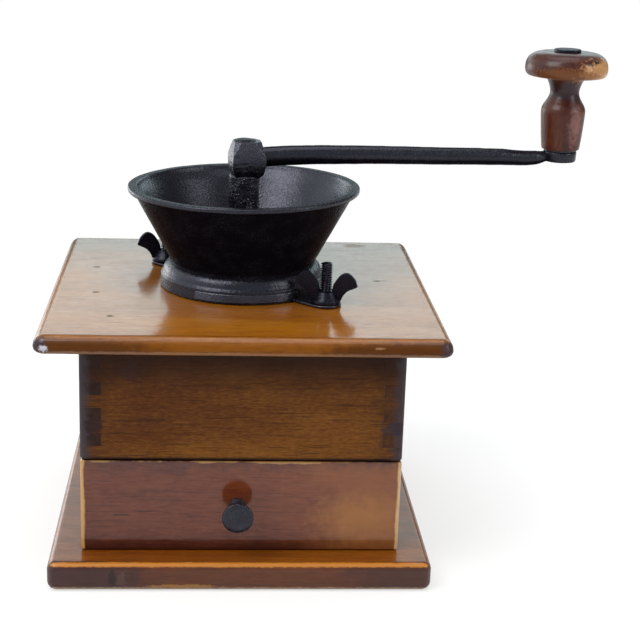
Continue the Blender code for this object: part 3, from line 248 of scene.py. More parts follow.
def bandMask(tree, place, bandOfWearAndLight):
    inward = times(tree, minus(tree, splitUp(tree, place)[bandOfWearAndLight["axis"]], bandOfWearAndLight["at"]), bandOfWearAndLight["inward"])
    noise = noiseAt(tree, place, bandOfWearAndLight["scale"], 4.0, 0.7)
    inward = plus(tree, inward, swing(tree, noise, bandOfWearAndLight["width"] * bandOfWearAndLight["ragged"]))
    return remap(tree, inward, 0.0, bandOfWearAndLight["width"], bandOfWearAndLight["strength"], 0.0)


def spot(at, reach, colour, strength=0.8, scale=700.0, ragged=1.4, core=0.55):
    # A ragged spot round a place, with its reach along each axis, full up to the core
    return dict(at=at, reach=reach, colour=colour, strength=strength, scale=scale, ragged=ragged, core=core)


def spotMask(tree, place, mark):
    away = vectorCalc(tree, "DIVIDE", vectorCalc(tree, "SUBTRACT", place, mark["at"]), mark["reach"])
    noise = noiseAt(tree, place, mark["scale"], 3.0, 0.6)
    far = plus(tree, lengthOf(tree, away), swing(tree, noise, mark["ragged"]))
    return remap(tree, far, mark["core"], 1.0, mark["strength"], 0.0)


# Iron and steel


def makeIron(name, look):
    material, tree, shader = newMaterial(name)
    coords = addNode(tree, "ShaderNodeTexCoord").outputs
    place, facing = coords["Object"], splitUp(tree, coords["Normal"])["Z"]
    pebble = noiseAt(tree, place, 850.0, 2.0, 0.55)
    grit = noiseAt(tree, place, look["gritScale"], 1.0)
    casting = noiseAt(tree, place, 95.0, 3.0, 0.6)
    speck = remap(tree, grit, look["speckFrom"], look["speckFrom"] + 0.2)
    speck = times(tree, times(tree, speck, remap(tree, casting, 0.40, 0.62)), look["speckle"])
    colour = mixColours(tree, speck, look["colour"], look["speckColour"])
    # Real dust and painted top light grey what faces up; what faces down stays darker and duller, as painted
    # shade
    dustAndTopLight = times(tree, remap(tree, casting, 0.25, 0.75, 0.3, 1.0), look["dustAndTopLight"])
    dustAndTopLight = times(tree, dustAndTopLight, remap(tree, facing, -0.2, 0.75, 0.15, 1.0))
    shine = remap(tree, facing, -0.45, 0.0, look["specular"] * 0.02, look["specular"])
    shine = times(tree, shine, remap(tree, facing, 0.8, 0.98, 1.0, look["topShine"]))
    height = plus(tree, pebble, times(tree, grit, 0.35))
    height = plus(tree, height, times(tree, casting, 1.6))
    feedAll(tree, shader, {
        "Base Color": mixColours(tree, dustAndTopLight, colour, look["dustAndTopLightColour"]), "Metallic": look["metallic"],
        "Roughness": remap(tree, pebble, 0.35, 0.65, *look["roughness"]), "Specular IOR Level": shine,
        "Specular Tint": look["tint"], "Normal": bumpFrom(tree, height, look["relief"], 0.001)})
    return material


# Looks of the boards, each with its bands of wear and of painted light and shade, its spots and its pits

topLow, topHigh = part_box("top_board")
railLow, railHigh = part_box("front_rail")
drawerLow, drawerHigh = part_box("drawer_front")
caseLow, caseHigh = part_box("side_wall_left")[0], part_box("side_wall_right")[1]
baseLow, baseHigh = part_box("base_board")
topLevel, topFace = topHigh.z, topLow.y
caseFace, drawerFace, baseFace = caseLow.y, drawerLow.y, baseLow.y
gripMiddle = sum(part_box("grip"), Vector()) / 2
allAlong = 9.0   # a reach past the object's ends, for a spot that is drawn out to a line

wood = dict(
    figureDepth=0.3, fleckDepth=0.55, coatRoughness=0.12, filmRelief=0.25, bandsOfWearAndLight=[], marks=[], pits=[])
pitColour = (0.02, 0.010, 0.006)
topPits = [spot((x, y, topLevel), (0.0026, 0.0015, 0.002), pitColour, 0.9, ragged=1.0)
           for x, y in ((-0.081, 0.0293), (-0.0776, -0.0222), (-0.0672, -0.0659), (0.0745, 0.0082))]
topPits += [
    spot((0.0777, 0.0086, topLevel), (0.0042, 0.0009, 0.002), pitColour, 0.6),
    spot((0.069, 0.0883, topLevel), (0.008, 0.006, 0.002), (0.10, 0.05, 0.02), 0.45)]
topMarks = [
    spot((topLow.x, topFace, 0.131), (0.075, 0.006, 0.007), (0.055, 0.015, 0.001), 0.75, 200.0, 0.6),
    spot((topHigh.x, topFace, 0.131), (0.085, 0.006, 0.007), (0.050, 0.012, 0.001), 0.75, 200.0, 0.6),
    # Painted highlight: a pale line along the lower rounding of the front edge, for light from the floor
    spot((0.0, topFace + 0.0008, topLow.z + 0.0009), (allAlong, 0.0016, 0.0018), (0.30, 0.17, 0.10),
         0.5, 260.0, 0.9),
    spot((0.0, topFace + 0.0053, topLevel), (allAlong, 0.0005, 0.0007), (0.06, 0.02, 0.004), 0.6, 200.0, 1.1),
    spot((topLow.x + 0.001, topFace + 0.001, 0.1315), (0.0085, 0.006, 0.007), (0.040, 0.027, 0.032),
         0.95, 350.0, 0.9),
    spot((topHigh.x - 0.001, topFace + 0.001, 0.1315), (0.0075, 0.006, 0.007), (0.050, 0.032, 0.034),
         0.9, 350.0, 0.9),
    spot((-0.0966, topFace, 0.1306), (0.0028, 0.003, 0.0020), (0.48, 0.47, 0.50), 1.0, 900.0, 2.2),
    spot((0.0651, topFace, 0.1325), (0.0026, 0.003, 0.0008), (0.36, 0.20, 0.09), 0.6)]
amber = dict(
    wood, grain=0, heart=(0.3, 0.02, -0.05), yearRing=0.0085, warp=0.02, ringDepth=0.12, fibreDepth=0.75,
    figureDepth=0.2, blotchDepth=0.8, poreColour=(0.06, 0.020, 0.004), poreDepth=0.55,
    colours=((0.11, 0.030, 0.001), (0.24, 0.072, 0.003), (0.34, 0.118, 0.005), (0.43, 0.17, 0.010)),
    endColours=((0.14, 0.055, 0.016), (0.22, 0.09, 0.022)), roughness=(0.35, 0.5), specular=0.1, coat=1.0,
    sideCoat=0.12, coatRoughness=0.14, filmRelief=0.14, marks=topMarks, pits=topPits,
    bandsOfWearAndLight=[band(1, topFace, 1, 0.0045, (0.14, 0.040, 0.001), 0.6, ragged=0.5),
          band(1, topHigh.y, -1, 0.10, (0.09, 0.032, 0.004), 0.75, 60.0, 0.5)])


def stain(axis, at, inward, width=0.020):
    # The dark stain at an end of a case board
    return band(axis, at, inward, width, (0.030, 0.012, 0.008), 0.55, 60.0)


# Painted shade: the top of the case boards darkens under the top board's overhang
topShade = band(2, railHigh.z - 0.0062, -1, 0.024, (0.020, 0.005, 0.001), 0.92, 60.0, 0.4)
# The case's worn front corners, painted bluish grey: partly their wear, partly a painted sheen on the rounded
# corners
cornerMarks = [
    spot((caseLow.x, caseFace, 0.1), (0.0064, 0.0052, allAlong), (0.052, 0.042, 0.050),
         0.85, 300.0, 0.9, 0.3),
    spot((caseHigh.x, caseFace, 0.1), (0.0074, 0.0060, allAlong), (0.048, 0.038, 0.044),
         0.8, 240.0, 1.1, 0.3)]
railBrown = dict(
    wood, grain=0, heart=(0.1, -0.2, 0.05), yearRing=0.006, warp=0.02, ringDepth=0.05, fibreDepth=0.5,
    figureDepth=0.12, fleckDepth=0.95, fleckScale=1100.0, blotchDepth=1.1, blotchScale=26.0,
    poreColour=(0.025, 0.009, 0.003), poreDepth=0.6,
    colours=((0.040, 0.011, 0.002), (0.10, 0.030, 0.004), (0.175, 0.064, 0.008), (0.26, 0.11, 0.014)),
    endColours=((0.012, 0.006, 0.007), (0.045, 0.018, 0.010)), roughness=(0.4, 0.6), specular=0.10,
    coat=0.06, sideCoat=0.06, coatRoughness=0.25, filmRelief=0.2,
    bandsOfWearAndLight=[stain(0, caseLow.x, 1), stain(0, caseHigh.x, -1, 0.024), topShade,
          band(2, railLow.z, 1, 0.0016, (0.006, 0.003, 0.002), 0.9, ragged=0.6)],
    marks=cornerMarks + [
        spot((0.0795, caseFace, 0.082), (0.011, 0.01, 0.014), (0.032, 0.022, 0.028), 0.8, 260.0),
        spot((-0.056, caseFace, 0.112), (0.009, 0.01, 0.006), (0.03, 0.014, 0.014), 0.45, 500.0, 2.2),
        spot((-0.0745, caseFace, 0.0840), (0.006, 0.01, 0.006), (0.010, 0.008, 0.012), 0.75, 300.0),
        spot((-0.0466, caseFace, 0.0869), (0.009, 0.01, 0.0012), (0.02, 0.009, 0.004), 0.5, 500.0)])
rearBrown = dict(railBrown, marks=[], bandsOfWearAndLight=[topShade, stain(0, caseLow.x, 1), stain(0, caseHigh.x, -1)])
sideBrown = dict(railBrown, grain=1, heart=(-0.2, 0.1, 0.02), marks=cornerMarks,
                 bandsOfWearAndLight=[topShade, stain(1, caseFace, 1), stain(1, caseHigh.y, -1)])
sideBrownRight = dict(sideBrown, endColours=((0.07, 0.024, 0.006), (0.13, 0.048, 0.010)))
golden, scratch = (0.56, 0.30, 0.09), (0.02, 0.005, 0.003)
drawerRed = dict(
    wood, grain=0, heart=(0.0, -0.25, -0.01), yearRing=0.009, warp=0.016, ringDepth=0.05, fibreDepth=0.45,
    figureDepth=0.12, fleckDepth=0.7, blotchDepth=1.0, blotchScale=26.0, poreColour=(0.03, 0.006, 0.004),
    poreDepth=0.5,
    colours=((0.045, 0.008, 0.004), (0.10, 0.020, 0.007), (0.155, 0.036, 0.010), (0.23, 0.066, 0.016)),
    endColours=((0.05, 0.014, 0.006), (0.14, 0.05, 0.02)), roughness=(0.35, 0.5), specular=0.12, coat=1.0,
    sideCoat=1.0, coatRoughness=0.08, filmRelief=0.06,
    bandsOfWearAndLight=[band(2, drawerLow.z, 1, 0.010, (0.030, 0.003, 0.0005), 0.85, ragged=0.8),
          band(2, drawerHigh.z, -1, 0.009, (0.045, 0.014, 0.013), 0.6),
          # Painted light: the drawer front grows lighter towards its right side
          band(0, drawerHigh.x, -1, 0.075, (0.29, 0.10, 0.025), 0.55, 22.0, 1.6)],
    marks=[
        spot((drawerLow.x, drawerFace, 0.04), (0.0023, 0.0023, allAlong), golden, 0.95, 90.0, 1.0),
        spot((drawerHigh.x, drawerFace, 0.04), (0.0021, 0.0021, allAlong), (0.62, 0.40, 0.20),
             0.9, 90.0, 1.0),
        spot((0.0, drawerFace, drawerHigh.z), (allAlong, 0.0009, 0.0008), golden, 0.5, 70.0, 5.0),
        spot((0.061, drawerFace, 0.033), (0.034, 0.01, 0.020), (0.36, 0.15, 0.022), 0.55, 160.0, 1.0, 0.0),
        spot((0.068, drawerFace, 0.0665), (0.028, 0.01, 0.007), (0.035, 0.014, 0.024), 0.8, 240.0, core=0.0),
        spot((-0.061, drawerFace, 0.0351), (0.007, 0.01, 0.0006), scratch, 0.8, 160.0),
        spot((-0.0496, drawerFace, 0.0372), (0.009, 0.01, 0.0005), scratch, 0.6, 160.0)])
baseBrown = dict(
    amber, pits=[], heart=(0.2, 0.1, -0.12), coat=0.7, sideCoat=0.7,
    colours=((0.08, 0.017, 0.001), (0.17, 0.042, 0.002), (0.25, 0.072, 0.004), (0.33, 0.11, 0.008)),
    bandsOfWearAndLight=[band(1, baseFace, 1, 0.0044, (0.045, 0.013, 0.012), 0.66, ragged=0.3)],
    marks=[
        spot((baseLow.x, baseFace, 0.0075), (0.060, 0.007, 0.02), (0.020, 0.011, 0.015), 0.6, 120.0, 0.8),
        spot((baseHigh.x, baseFace, 0.0075), (0.050, 0.007, 0.02), (0.026, 0.013, 0.016), 0.5, 120.0, 0.8),
        # Painted highlight: a bright orange line along the rounded top front edge
        spot((0.0, baseFace + 0.0016, baseHigh.z - 0.0006), (allAlong, 0.0019, 0.0017), (0.55, 0.20, 0.02),
             0.85, 300.0, 0.9),
        spot((0.0, baseFace + 0.0006, 0.0010), (allAlong, 0.0018, 0.0015), (0.42, 0.28, 0.15),
             0.75, 240.0, 1.3),
        spot((-0.030, baseFace, 0.0028), (0.022, 0.006, 0.0016), (0.42, 0.20, 0.04), 0.6, 400.0),
        spot((-0.0650, baseFace, 0.0078), (0.0022, 0.006, 0.0060), (0.016, 0.008, 0.007), 0.8, 420.0, 2.0),
        spot((-0.0600, baseFace, 0.0070), (0.0030, 0.006, 0.0055), (0.085, 0.045, 0.035), 0.6, 420.0, 1.8)])
gripRed = dict(
    wood, grain=2, heart=(0.13, 0.0, 0.2), yearRing=0.004, warp=0.01, ringDepth=0.25, fibreDepth=0.8,
    blotchDepth=1.2, blotchScale=48.0, poreColour=(0.02, 0.006, 0.003), poreDepth=0.4,
    colours=((0.012, 0.002, 0.001), (0.030, 0.004, 0.002), (0.070, 0.012, 0.003), (0.15, 0.045, 0.007)),
    endColours=((0.045, 0.018, 0.018), (0.09, 0.032, 0.022)), roughness=(0.3, 0.45), specular=0.25, coat=0.2,
    sideCoat=0.25, coatRoughness=0.18, filmRelief=0.12,
    marks=[spot(gripMiddle + Vector(offset), *rest) for offset, *rest in (
        # Painted light: a pale amber patch on the right of the grip's top
        ((0.016, -0.012, 0.0165), (0.020, 0.022, 0.009), (0.52, 0.27, 0.10), 0.9, 500.0),
        ((-0.004, -0.02, 0.0155), (0.024, 0.022, 0.006), (0.17, 0.055, 0.012), 0.75, 700.0),
        # Painted highlight: a pinkish grey upright streak on the front of the grip's body
        ((0.0055, -0.011, -0.012), (0.0065, 0.008, 0.018), (0.24, 0.11, 0.095), 0.75, 400.0, 1.4, 0.1),
        ((0.0, 0.0, 0.006), (0.02, 0.02, 0.007), (0.030, 0.012, 0.020), 0.85, 200.0))])
bareWood = dict(
    wood, grain=1, heart=(0.1, 0.0, -0.1), yearRing=0.005, warp=0.01, ringDepth=0.25, fibreDepth=0.6,
    blotchDepth=0.5, poreColour=(0.12, 0.07, 0.03), poreDepth=0.3,
    colours=((0.24, 0.14, 0.06), (0.36, 0.23, 0.11), (0.45, 0.30, 0.16), (0.52, 0.37, 0.22)),
    endColours=((0.2, 0.12, 0.06), (0.32, 0.2, 0.1)), roughness=(0.55, 0.75), coat=0.0, sideCoat=0.0,
    specular=0.3)

# Looks of the metal

blackIron = dict(
    colour=(0.0040, 0.0032, 0.0052), speckColour=(0.07, 0.075, 0.10), dustAndTopLightColour=(0.022, 0.023, 0.034),
    tint=(0.82, 0.82, 1.0), roughness=(0.18, 0.32), gritScale=2300.0, speckFrom=0.52, speckle=0.3, dustAndTopLight=0.2,
    specular=0.5, topShine=0.05, metallic=0.0, relief=0.2)
wornIron = dict(
    blackIron, dustAndTopLightColour=(0.030, 0.031, 0.042), speckle=0.6, specular=0.9, topShine=1.0, relief=0.45)
knobIron = dict(wornIron, specular=0.5, dustAndTopLight=0.3)
# Painted glints: bright specks on the spindle stand for the sparkle of light on its cast surface
pittedGlintIron = dict(
    blackIron, speckColour=(0.45, 0.45, 0.5), speckle=1.0, speckFrom=0.6, gritScale=1300.0, relief=0.5)
nutIron = dict(blackIron, colour=(0.0045, 0.0035, 0.008), dustAndTopLight=0.08, specular=0.22, relief=0.12)
polishedIron = dict(blackIron, roughness=(0.10, 0.2), dustAndTopLight=0.1, specular=0.9, topShine=0.5)
threadIron = dict(nutIron, roughness=(0.2, 0.25), specular=1.0, relief=0.0, speckle=0.0)
oiledSteel = dict(blackIron, colour=(0.03, 0.03, 0.035))
bareSteel = dict(
    blackIron, colour=(0.30, 0.30, 0.31), speckColour=(0.16, 0.14, 0.12), dustAndTopLightColour=(0.2, 0.17, 0.14),
    tint=(1.0, 1.0, 1.0), metallic=1.0, roughness=(0.28, 0.45), speckle=0.5, dustAndTopLight=0.4, topShine=1.0,
    relief=0.08)
burrIron = dict(
    bareSteel, colour=(0.08, 0.08, 0.085), speckColour=(0.2, 0.2, 0.2), dustAndTopLightColour=(0.12, 0.09, 0.06),
    roughness=(0.4, 0.6), speckle=0.4, dustAndTopLight=0.3, relief=0.15)

varnishedGrip = makeWood("varnishedGrip", gripRed)
paintedIron = makeIron("paintedIron", blackIron)
handledIron = makeIron("handledIron", wornIron)
glintSpeckledIron = makeIron("glintSpeckledIron", pittedGlintIron)
turnedIron = makeIron("turnedIron", knobIron)
glossIron = makeIron("glossIron", polishedIron)
darkIron = makeIron("darkIron", nutIron)
screwIron = makeIron("screwIron", threadIron)
darkSteel = makeIron("darkSteel", oiledSteel)
materialOf = {
    "top_board": makeWood("varnishedAmber", amber), "base_board": makeWood("varnishedBase", baseBrown),
    "front_rail": makeWood("varnishedRail", railBrown), "rear_wall": makeWood("varnishedRear", rearBrown),
    "side_wall_left": makeWood("varnishedSide", sideBrown),
    "side_wall_right": makeWood("varnishedSideRight", sideBrownRight),
    "drawer_front": makeWood("varnishedDrawer", drawerRed),
    "washer_front": darkSteel, "washer_rear": darkSteel, "grip_washer": darkSteel}
materialOfSlot = {
    "pale_wood": makeWood("plainWood", bareWood), "black_iron": paintedIron,
    "bare_steel": makeIron("steel", bareSteel), "burr_iron": makeIron("groundIron", burrIron)}
print("materials made")


# Mesh helpers

remadeNodes = set()
mergeDistance = 0.000002
caseWalls = dict(swell=0.00013, cornerRadius=0.0026, cornerSteps=5, near=0.0003)


def addObject(name, data):
    made = bpy.data.objects.new(name, data)
    scene.collection.objects.link(made)
    return made


def addShape(name, shape):
    # A closed shape as an object, with its faces outwards
    bmesh.ops.recalc_face_normals(shape, faces=shape.faces)
    mesh = bpy.data.meshes.new(name)
    shape.to_mesh(mesh)
    shape.free()
    return addObject(name, mesh)


def shapeNow(piece):
    # The piece's mesh as its modifiers leave it
    bpy.context.view_layer.update()
    return bpy.data.meshes.new_from_object(piece.evaluated_get(bpy.context.evaluated_depsgraph_get()))


def keepFlats(piece):
    # Broad faces keep their own direction beside the small faces of an eased edge
    weigh = piece.modifiers.new("Flats", "WEIGHTED_NORMAL")
    weigh.keep_sharp = True
    weigh.weight = 90
    mesh = shapeNow(piece)
    piece.modifiers.clear()
    piece.data = mesh
    return piece


def settle(piece, smoothAngle=35):
    # Modifiers and place go into the mesh, which is merged and smoothed
    mesh = shapeNow(piece)
    mesh.transform(piece.matrix_world)
    piece.modifiers.clear()
    piece.data = mesh
    piece.matrix_world = Matrix.Identity(4)
    shape = bmesh.new()
    shape.from_mesh(mesh)
    bmesh.ops.remove_doubles(shape, verts=shape.verts, dist=mergeDistance)
    bmesh.ops.recalc_face_normals(shape, faces=shape.faces)
    shape.to_mesh(mesh)
    shape.free()
    mesh.shade_smooth()
    mesh.set_sharp_from_angle(angle=math.radians(smoothAngle))
    return piece


def swell(shape, distance):
    # Every flat face moves outward, so that the finger joints close
    moves = {}
    for corner in shape.verts:
        directions = {tuple(round(part, 3) for part in face.normal) for face in corner.link_faces}
        moves[corner] = sum((Vector(direction) for direction in directions), Vector()) * distance
    for corner, move in moves.items():
        corner.co += move


def isCaseCorner(edge):
    # An upright edge at one of the case's four outer corners
    ends = [corner.co for corner in edge.verts]
    return all(min(abs(end.x - caseLow.x), abs(end.x - caseHigh.x)) < caseWalls["near"]
               and min(abs(end.y - caseLow.y), abs(end.y - caseHigh.y)) < caseWalls["near"] for end in ends)


def dress(node, material):
    # A merged copy of a CAD solid, with the case's outer corners rounded
    mesh = nodes[node].data.copy()
    shape = bmesh.new()
    shape.from_mesh(mesh)
    bmesh.ops.remove_doubles(shape, verts=shape.verts, dist=mergeDistance)
    bmesh.ops.dissolve_limit(shape, angle_limit=math.radians(0.5), verts=shape.verts, edges=shape.edges)
    if slotOf[node] == slotOf["front_rail"]:
        swell(shape, caseWalls["swell"])
        corners = [edge for edge in shape.edges if isCaseCorner(edge)]
        bmesh.ops.bevel(shape, geom=corners, offset=caseWalls["cornerRadius"],
                        segments=caseWalls["cornerSteps"], profile=0.5, affect="EDGES")
    shape.to_mesh(mesh)
    shape.free()
    finishPiece(keepFlats(settle(addObject(node + "_piece", mesh))), material, node)


def finishPiece(piece, material, node):
    piece.data.materials.clear()
    piece.data.materials.append(material)
    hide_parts(node)
    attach(piece, nodes[node]["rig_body"])
    remadeNodes.add(node)


# Outlines and turned shapes


def easedLine(corners, closed=False, longest=0.0014):
    # Corners of (across, up, rounding) as a line with round corners and short stretches
    steps = 6
    line = []
    for index, (across, up, rounding) in enumerate(corners):
        here = Vector((across, up))
        if not rounding:
            line.append(here)
            continue
        before = here + (Vector(corners[index - 1][:2]) - here).normalized() * rounding
        after = here + (Vector(corners[(index + 1) % len(corners)][:2]) - here).normalized() * rounding
        for step in range(steps + 1):
            share = step / steps
            line.append(before.lerp(here, share).lerp(here.lerp(after, share), share))
    if closed:
        line.append(line[0])
    fine = [line[0]]
    for first, second in zip(line, line[1:]):
        parts = max(1, math.ceil((second - first).length / longest))
        fine += [first.lerp(second, part / parts) for part in range(1, parts + 1)]
    return fine


def smoothLine(points, steps, closed=False):
    # A curve through the points
    count = len(points)
    spans = count if closed else count - 1
    line = []
    for index in range(spans):
        places = range(index - 1, index + 3)
        near = [Vector(points[k % count] if closed else points[min(max(k, 0), count - 1)]) for k in places]
        for step in range(steps):
            t = step / steps
            line.append(0.5 * (2 * near[1] + (near[2] - near[0]) * t
                               + (2 * near[0] - 5 * near[1] + 4 * near[2] - near[3]) * t ** 2
                               + (3 * near[1] - near[0] - 3 * near[2] + near[3]) * t ** 3))
    return line if closed else line + [Vector(points[-1])]


def onCircle(radius, degrees):
    return radius * math.cos(math.radians(degrees)), radius * math.sin(math.radians(degrees))


def newTree(name, sockets):
    tree = bpy.data.node_groups.new(name, "GeometryNodeTree")
    tree.interface.new_socket("Geometry", in_out="OUTPUT", socket_type="NodeSocketGeometry")
    for label, kind in sockets.items():
        tree.interface.new_socket(label, in_out="INPUT", socket_type="NodeSocket" + kind)
    return tree, addNode(tree, "NodeGroupInput").outputs


def sheetRoundAxis(tree, columns, rows, place, material):
    # A grid bent into the surface that place gives, joined where its edges meet
    inputs = {"Vertices X": plus(tree, columns, 1.0), "Vertices Y": rows}
    grid = addNode(tree, "GeometryNodeMeshGrid", inputs)
    index = addNode(tree, "GeometryNodeInputIndex").outputs[0]
    row = calc(tree, "MODULO", index, rows)
    column = calc(tree, "FLOOR", calc(tree, "DIVIDE", plus(tree, index, 0.5), rows))
    turn = calc(tree, "DIVIDE", column, columns)
    inputs = {"Geometry": grid.outputs[0], "Position": place(row, turn)}
    placed = addNode(tree, "GeometryNodeSetPosition", inputs)
    inputs = {"Geometry": placed.outputs[0], "Distance": 2 * mergeDistance}
    joined = addNode(tree, "GeometryNodeMergeByDistance", inputs)
    dressed = addNode(tree, "GeometryNodeSetMaterial", {"Geometry": joined.outputs[0], "Material": material})
    real = addNode(tree, "GeometryNodeRealizeInstances", {"Geometry": dressed.outputs[0]})
    tree.links.new(real.outputs[0], addNode(tree, "NodeGroupOutput").inputs[0])
    return tree


def aroundAxis(tree, radius, turn, height):
    angle = times(tree, turn, math.tau)
    x = times(tree, radius, calc(tree, "COSINE", angle))
    y = times(tree, radius, calc(tree, "SINE", angle))
    return addNode(tree, "ShaderNodeCombineXYZ", {"X": x, "Y": y, "Z": height}).outputs[0]


def makeTurnedTree():
    sockets = {"Profile": "Object", "Steps": "Int", "Unevenness": "Float", "Grain": "Float",
               "Material": "Material"}
    tree, given = newTree("turned", sockets)
    profile = addNode(tree, "GeometryNodeObjectInfo", {"Object": given["Profile"]}).outputs["Geometry"]
    rows = addNode(tree, "GeometryNodeAttributeDomainSize", {"Geometry": profile}).outputs["Point Count"]

    def place(row, turn):
        position = addNode(tree, "GeometryNodeInputPosition").outputs[0]
        sample = addNode(tree, "GeometryNodeSampleIndex", {"Geometry": profile, "Index": row},
                         data_type="FLOAT_VECTOR")
        feed(tree, next(s for s in sample.inputs if s.name == "Value" and s.enabled), position)
        found = next(s for s in sample.outputs if s.name == "Value" and s.enabled)
        apart = splitUp(tree, found)
        ring = aroundAxis(tree, apart["X"], turn, apart["Z"])
        rough = scaled(tree, wobble(tree, ring, given["Grain"]), given["Unevenness"])
        # The axis itself stays put, so that the poles close
        held = scaled(tree, rough, remap(tree, apart["X"], 0.0, 0.001))
        return vectorCalc(tree, "ADD", ring, held)

    return sheetRoundAxis(tree, given["Steps"], rows, place, given["Material"])


def makeThreadTree():
    sockets = {"Radius": "Float", "Depth": "Float", "Pitch": "Float", "Bottom": "Float", "Top": "Float",
               "Steps": "Int", "Rows": "Int", "Material": "Material"}
    tree, given = newTree("thread", sockets)

    def place(row, turn):
        length = minus(tree, given["Top"], given["Bottom"])
        along = calc(tree, "DIVIDE", minus(tree, row, 1.0), minus(tree, given["Rows"], 3.0))
        along = calc(tree, "MINIMUM", calc(tree, "MAXIMUM", along, 0.0), 1.0)
        height = plus(tree, given["Bottom"], times(tree, along, length))
        turns = minus(tree, calc(tree, "DIVIDE", height, given["Pitch"]), turn)
        wave = calc(tree, "ABSOLUTE", minus(tree, calc(tree, "FRACT", turns), 0.5))
        crest = calc(tree, "MINIMUM", times(tree, wave, 2.4), 1.0)
        radius = minus(tree, given["Radius"], times(tree, crest, given["Depth"]))
        # The tip is domed, and the first and last rows close it
        fromTop = minus(tree, given["Top"], height)
        dome = plus(tree, times(tree, given["Radius"], 0.85), times(tree, fromTop, 1.5))
        radius = calc(tree, "MINIMUM", radius, dome)
        lastRow = minus(tree, given["Rows"], 1.5)
        body = times(tree, calc(tree, "GREATER_THAN", row, 0.5), calc(tree, "LESS_THAN", row, lastRow))
        radius = times(tree, radius, body)
        crown = times(tree, calc(tree, "GREATER_THAN", row, lastRow), 0.0003)
        return aroundAxis(tree, radius, turn, plus(tree, height, crown))

    return sheetRoundAxis(tree, given["Steps"], given["Rows"], place, given["Material"])


turnedTree = makeTurnedTree()
threadTree = makeThreadTree()


def runTree(name, tree, values, move, smoothAngle=50):
    piece = addObject(name, bpy.data.meshes.new(name))
    modifier = piece.modifiers.new("Shape", "NODES")
    modifier.node_group = tree
    for socket in tree.interface.items_tree:
        if socket.in_out == "INPUT":
            modifier[socket.identifier] = values[socket.name]
    piece.matrix_world = move
    return settle(piece, smoothAngle)


def turn(name, line, material, node, steps, move, uneven=0.0, grain=120.0):
    mesh = bpy.data.meshes.new(name + "Profile")
    stretches = [(i, i + 1) for i in range(len(line) - 1)]
    mesh.from_pydata([(across, 0.0, up) for across, up in line], stretches, [])
    profile = addObject(name + "Profile", mesh)
    values = {"Profile": profile, "Steps": steps, "Unevenness": uneven, "Grain": grain, "Material": material}
    piece = runTree(name, turnedTree, values, move)
    bpy.data.objects.remove(profile)
    finishPiece(piece, material, node)
    return piece


def addPlate(name, outline, thickness, edge, move):
    # An outline in X and Y, made thick both ways from its middle, with round edges
    shape = bmesh.new()
    corners = [shape.verts.new((across, up, -thickness / 2)) for across, up in outline]
    raised = bmesh.ops.extrude_face_region(shape, geom=[shape.faces.new(corners)])["geom"]
    lifted = [item for item in raised if isinstance(item, bmesh.types.BMVert)]
    bmesh.ops.translate(shape, verts=lifted, vec=(0.0, 0.0, thickness))
    piece = addShape(name, shape)
    bevel = piece.modifiers.new("Edges", "BEVEL")
    bevel.width = edge
    bevel.segments = 4
    bevel.limit_method = "ANGLE"
    bevel.angle_limit = math.radians(50)
    piece.matrix_world = move
    return keepFlats(settle(piece, 40))


def spin(degrees, place=(0.0, 0.0, 0.0)):
    return Matrix.Translation(place) @ Matrix.Rotation(math.radians(degrees), 4, "Z")


facingFront = Matrix.Rotation(math.radians(90), 4, "X")


# Hopper: bowl on a spreading foot, with two bolt lugs

hopper = dict(
    lip=(0.062, 0.0048), height=0.0543, neck=(0.0382, 0.0131), wall=0.0032, foot=0.0445, band=0.0067,
    throat=(0.029, 0.0243), bore=0.0232, seat=(0.026, 0.0028), bolts=0.0594, boltAngle=-44,
    lug=(0.0082, 0.0014), unevenness=0.00035, lean=0.0007, edge=0.0005)
footStrip = dict(
    span=(-125, -50), inset=0.002, proud=0.0007, thickness=0.0046, level=0.003, lean=0.0007, edge=0.0006)
spider = dict(bush=(0.0059, 0.009), bushSpan=(0.0003, 0.0095), arm=(0.0068, 0.0246, 0.0035),
              armThickness=0.0052, armLevel=0.0004, edge=0.0006)


def bowlLine():
    lip, lipWidth = hopper["lip"]
    top = hopper["height"]
    neck, neckHeight = hopper["neck"]
    wall, foot, footBand = hopper["wall"], hopper["foot"], hopper["band"]
    throat, depth = hopper["throat"]
    seat, seatDepth = hopper["seat"]
    swellRise = neckHeight - footBand
    bulge = [(neck + (foot - 0.0014 - neck) * math.sin(math.radians(a)),
              footBand + swellRise * math.cos(math.radians(a)), 0) for a in range(8, 88, 8)]
    # Down the outside from the lip to the foot, then up through the throat and the inside
    corners = [
        (lip, top, 0.0009), (lip, top - 0.0024, 0.0007), (0.0588, top - 0.0032, 0.001),
        (0.0567, 0.0471, 0.002), (neck + 0.0008, neckHeight + 0.0008, 0.001), *bulge,
        (foot - 0.0010, footBand + 0.0004, 0.0002), (foot - 0.0004, footBand - 0.0002, 0.0003),
        (foot - 0.0003, footBand - 0.0012, 0.0004), (foot, 0.0, 0.0004),
        (throat, 0.0, 0.0004), (throat, -depth, 0.0004), (seat, -depth, 0.0003),
        (seat, -seatDepth, 0.0004), (hopper["bore"], -seatDepth, 0.0004), (hopper["bore"], wall, 0.001),
        (neck - wall - 0.002, 0.0095, 0.002), (neck - wall, neckHeight, 0.002), (0.0536, 0.0482, 0.001),
        (lip - lipWidth - 0.0009, top - 0.0022, 0.0008), (lip - lipWidth, top, 0.0008)]
    return easedLine(corners, closed=True)


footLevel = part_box("hopper")[1].z - hopper["height"]
onFoot = Matrix.Translation((0.0, 0.0, footLevel))
bowl = turn("bowl", bowlLine(), paintedIron, "hopper", 360, onFoot, hopper["unevenness"], 70.0)
for corner in bowl.data.vertices:
    # The casting stands a little higher on its right
    upShare = max(0.0, corner.co.z - footLevel) / hopper["height"]
    corner.co.z += hopper["lean"] * corner.co.x / hopper["lip"][0] * upShare


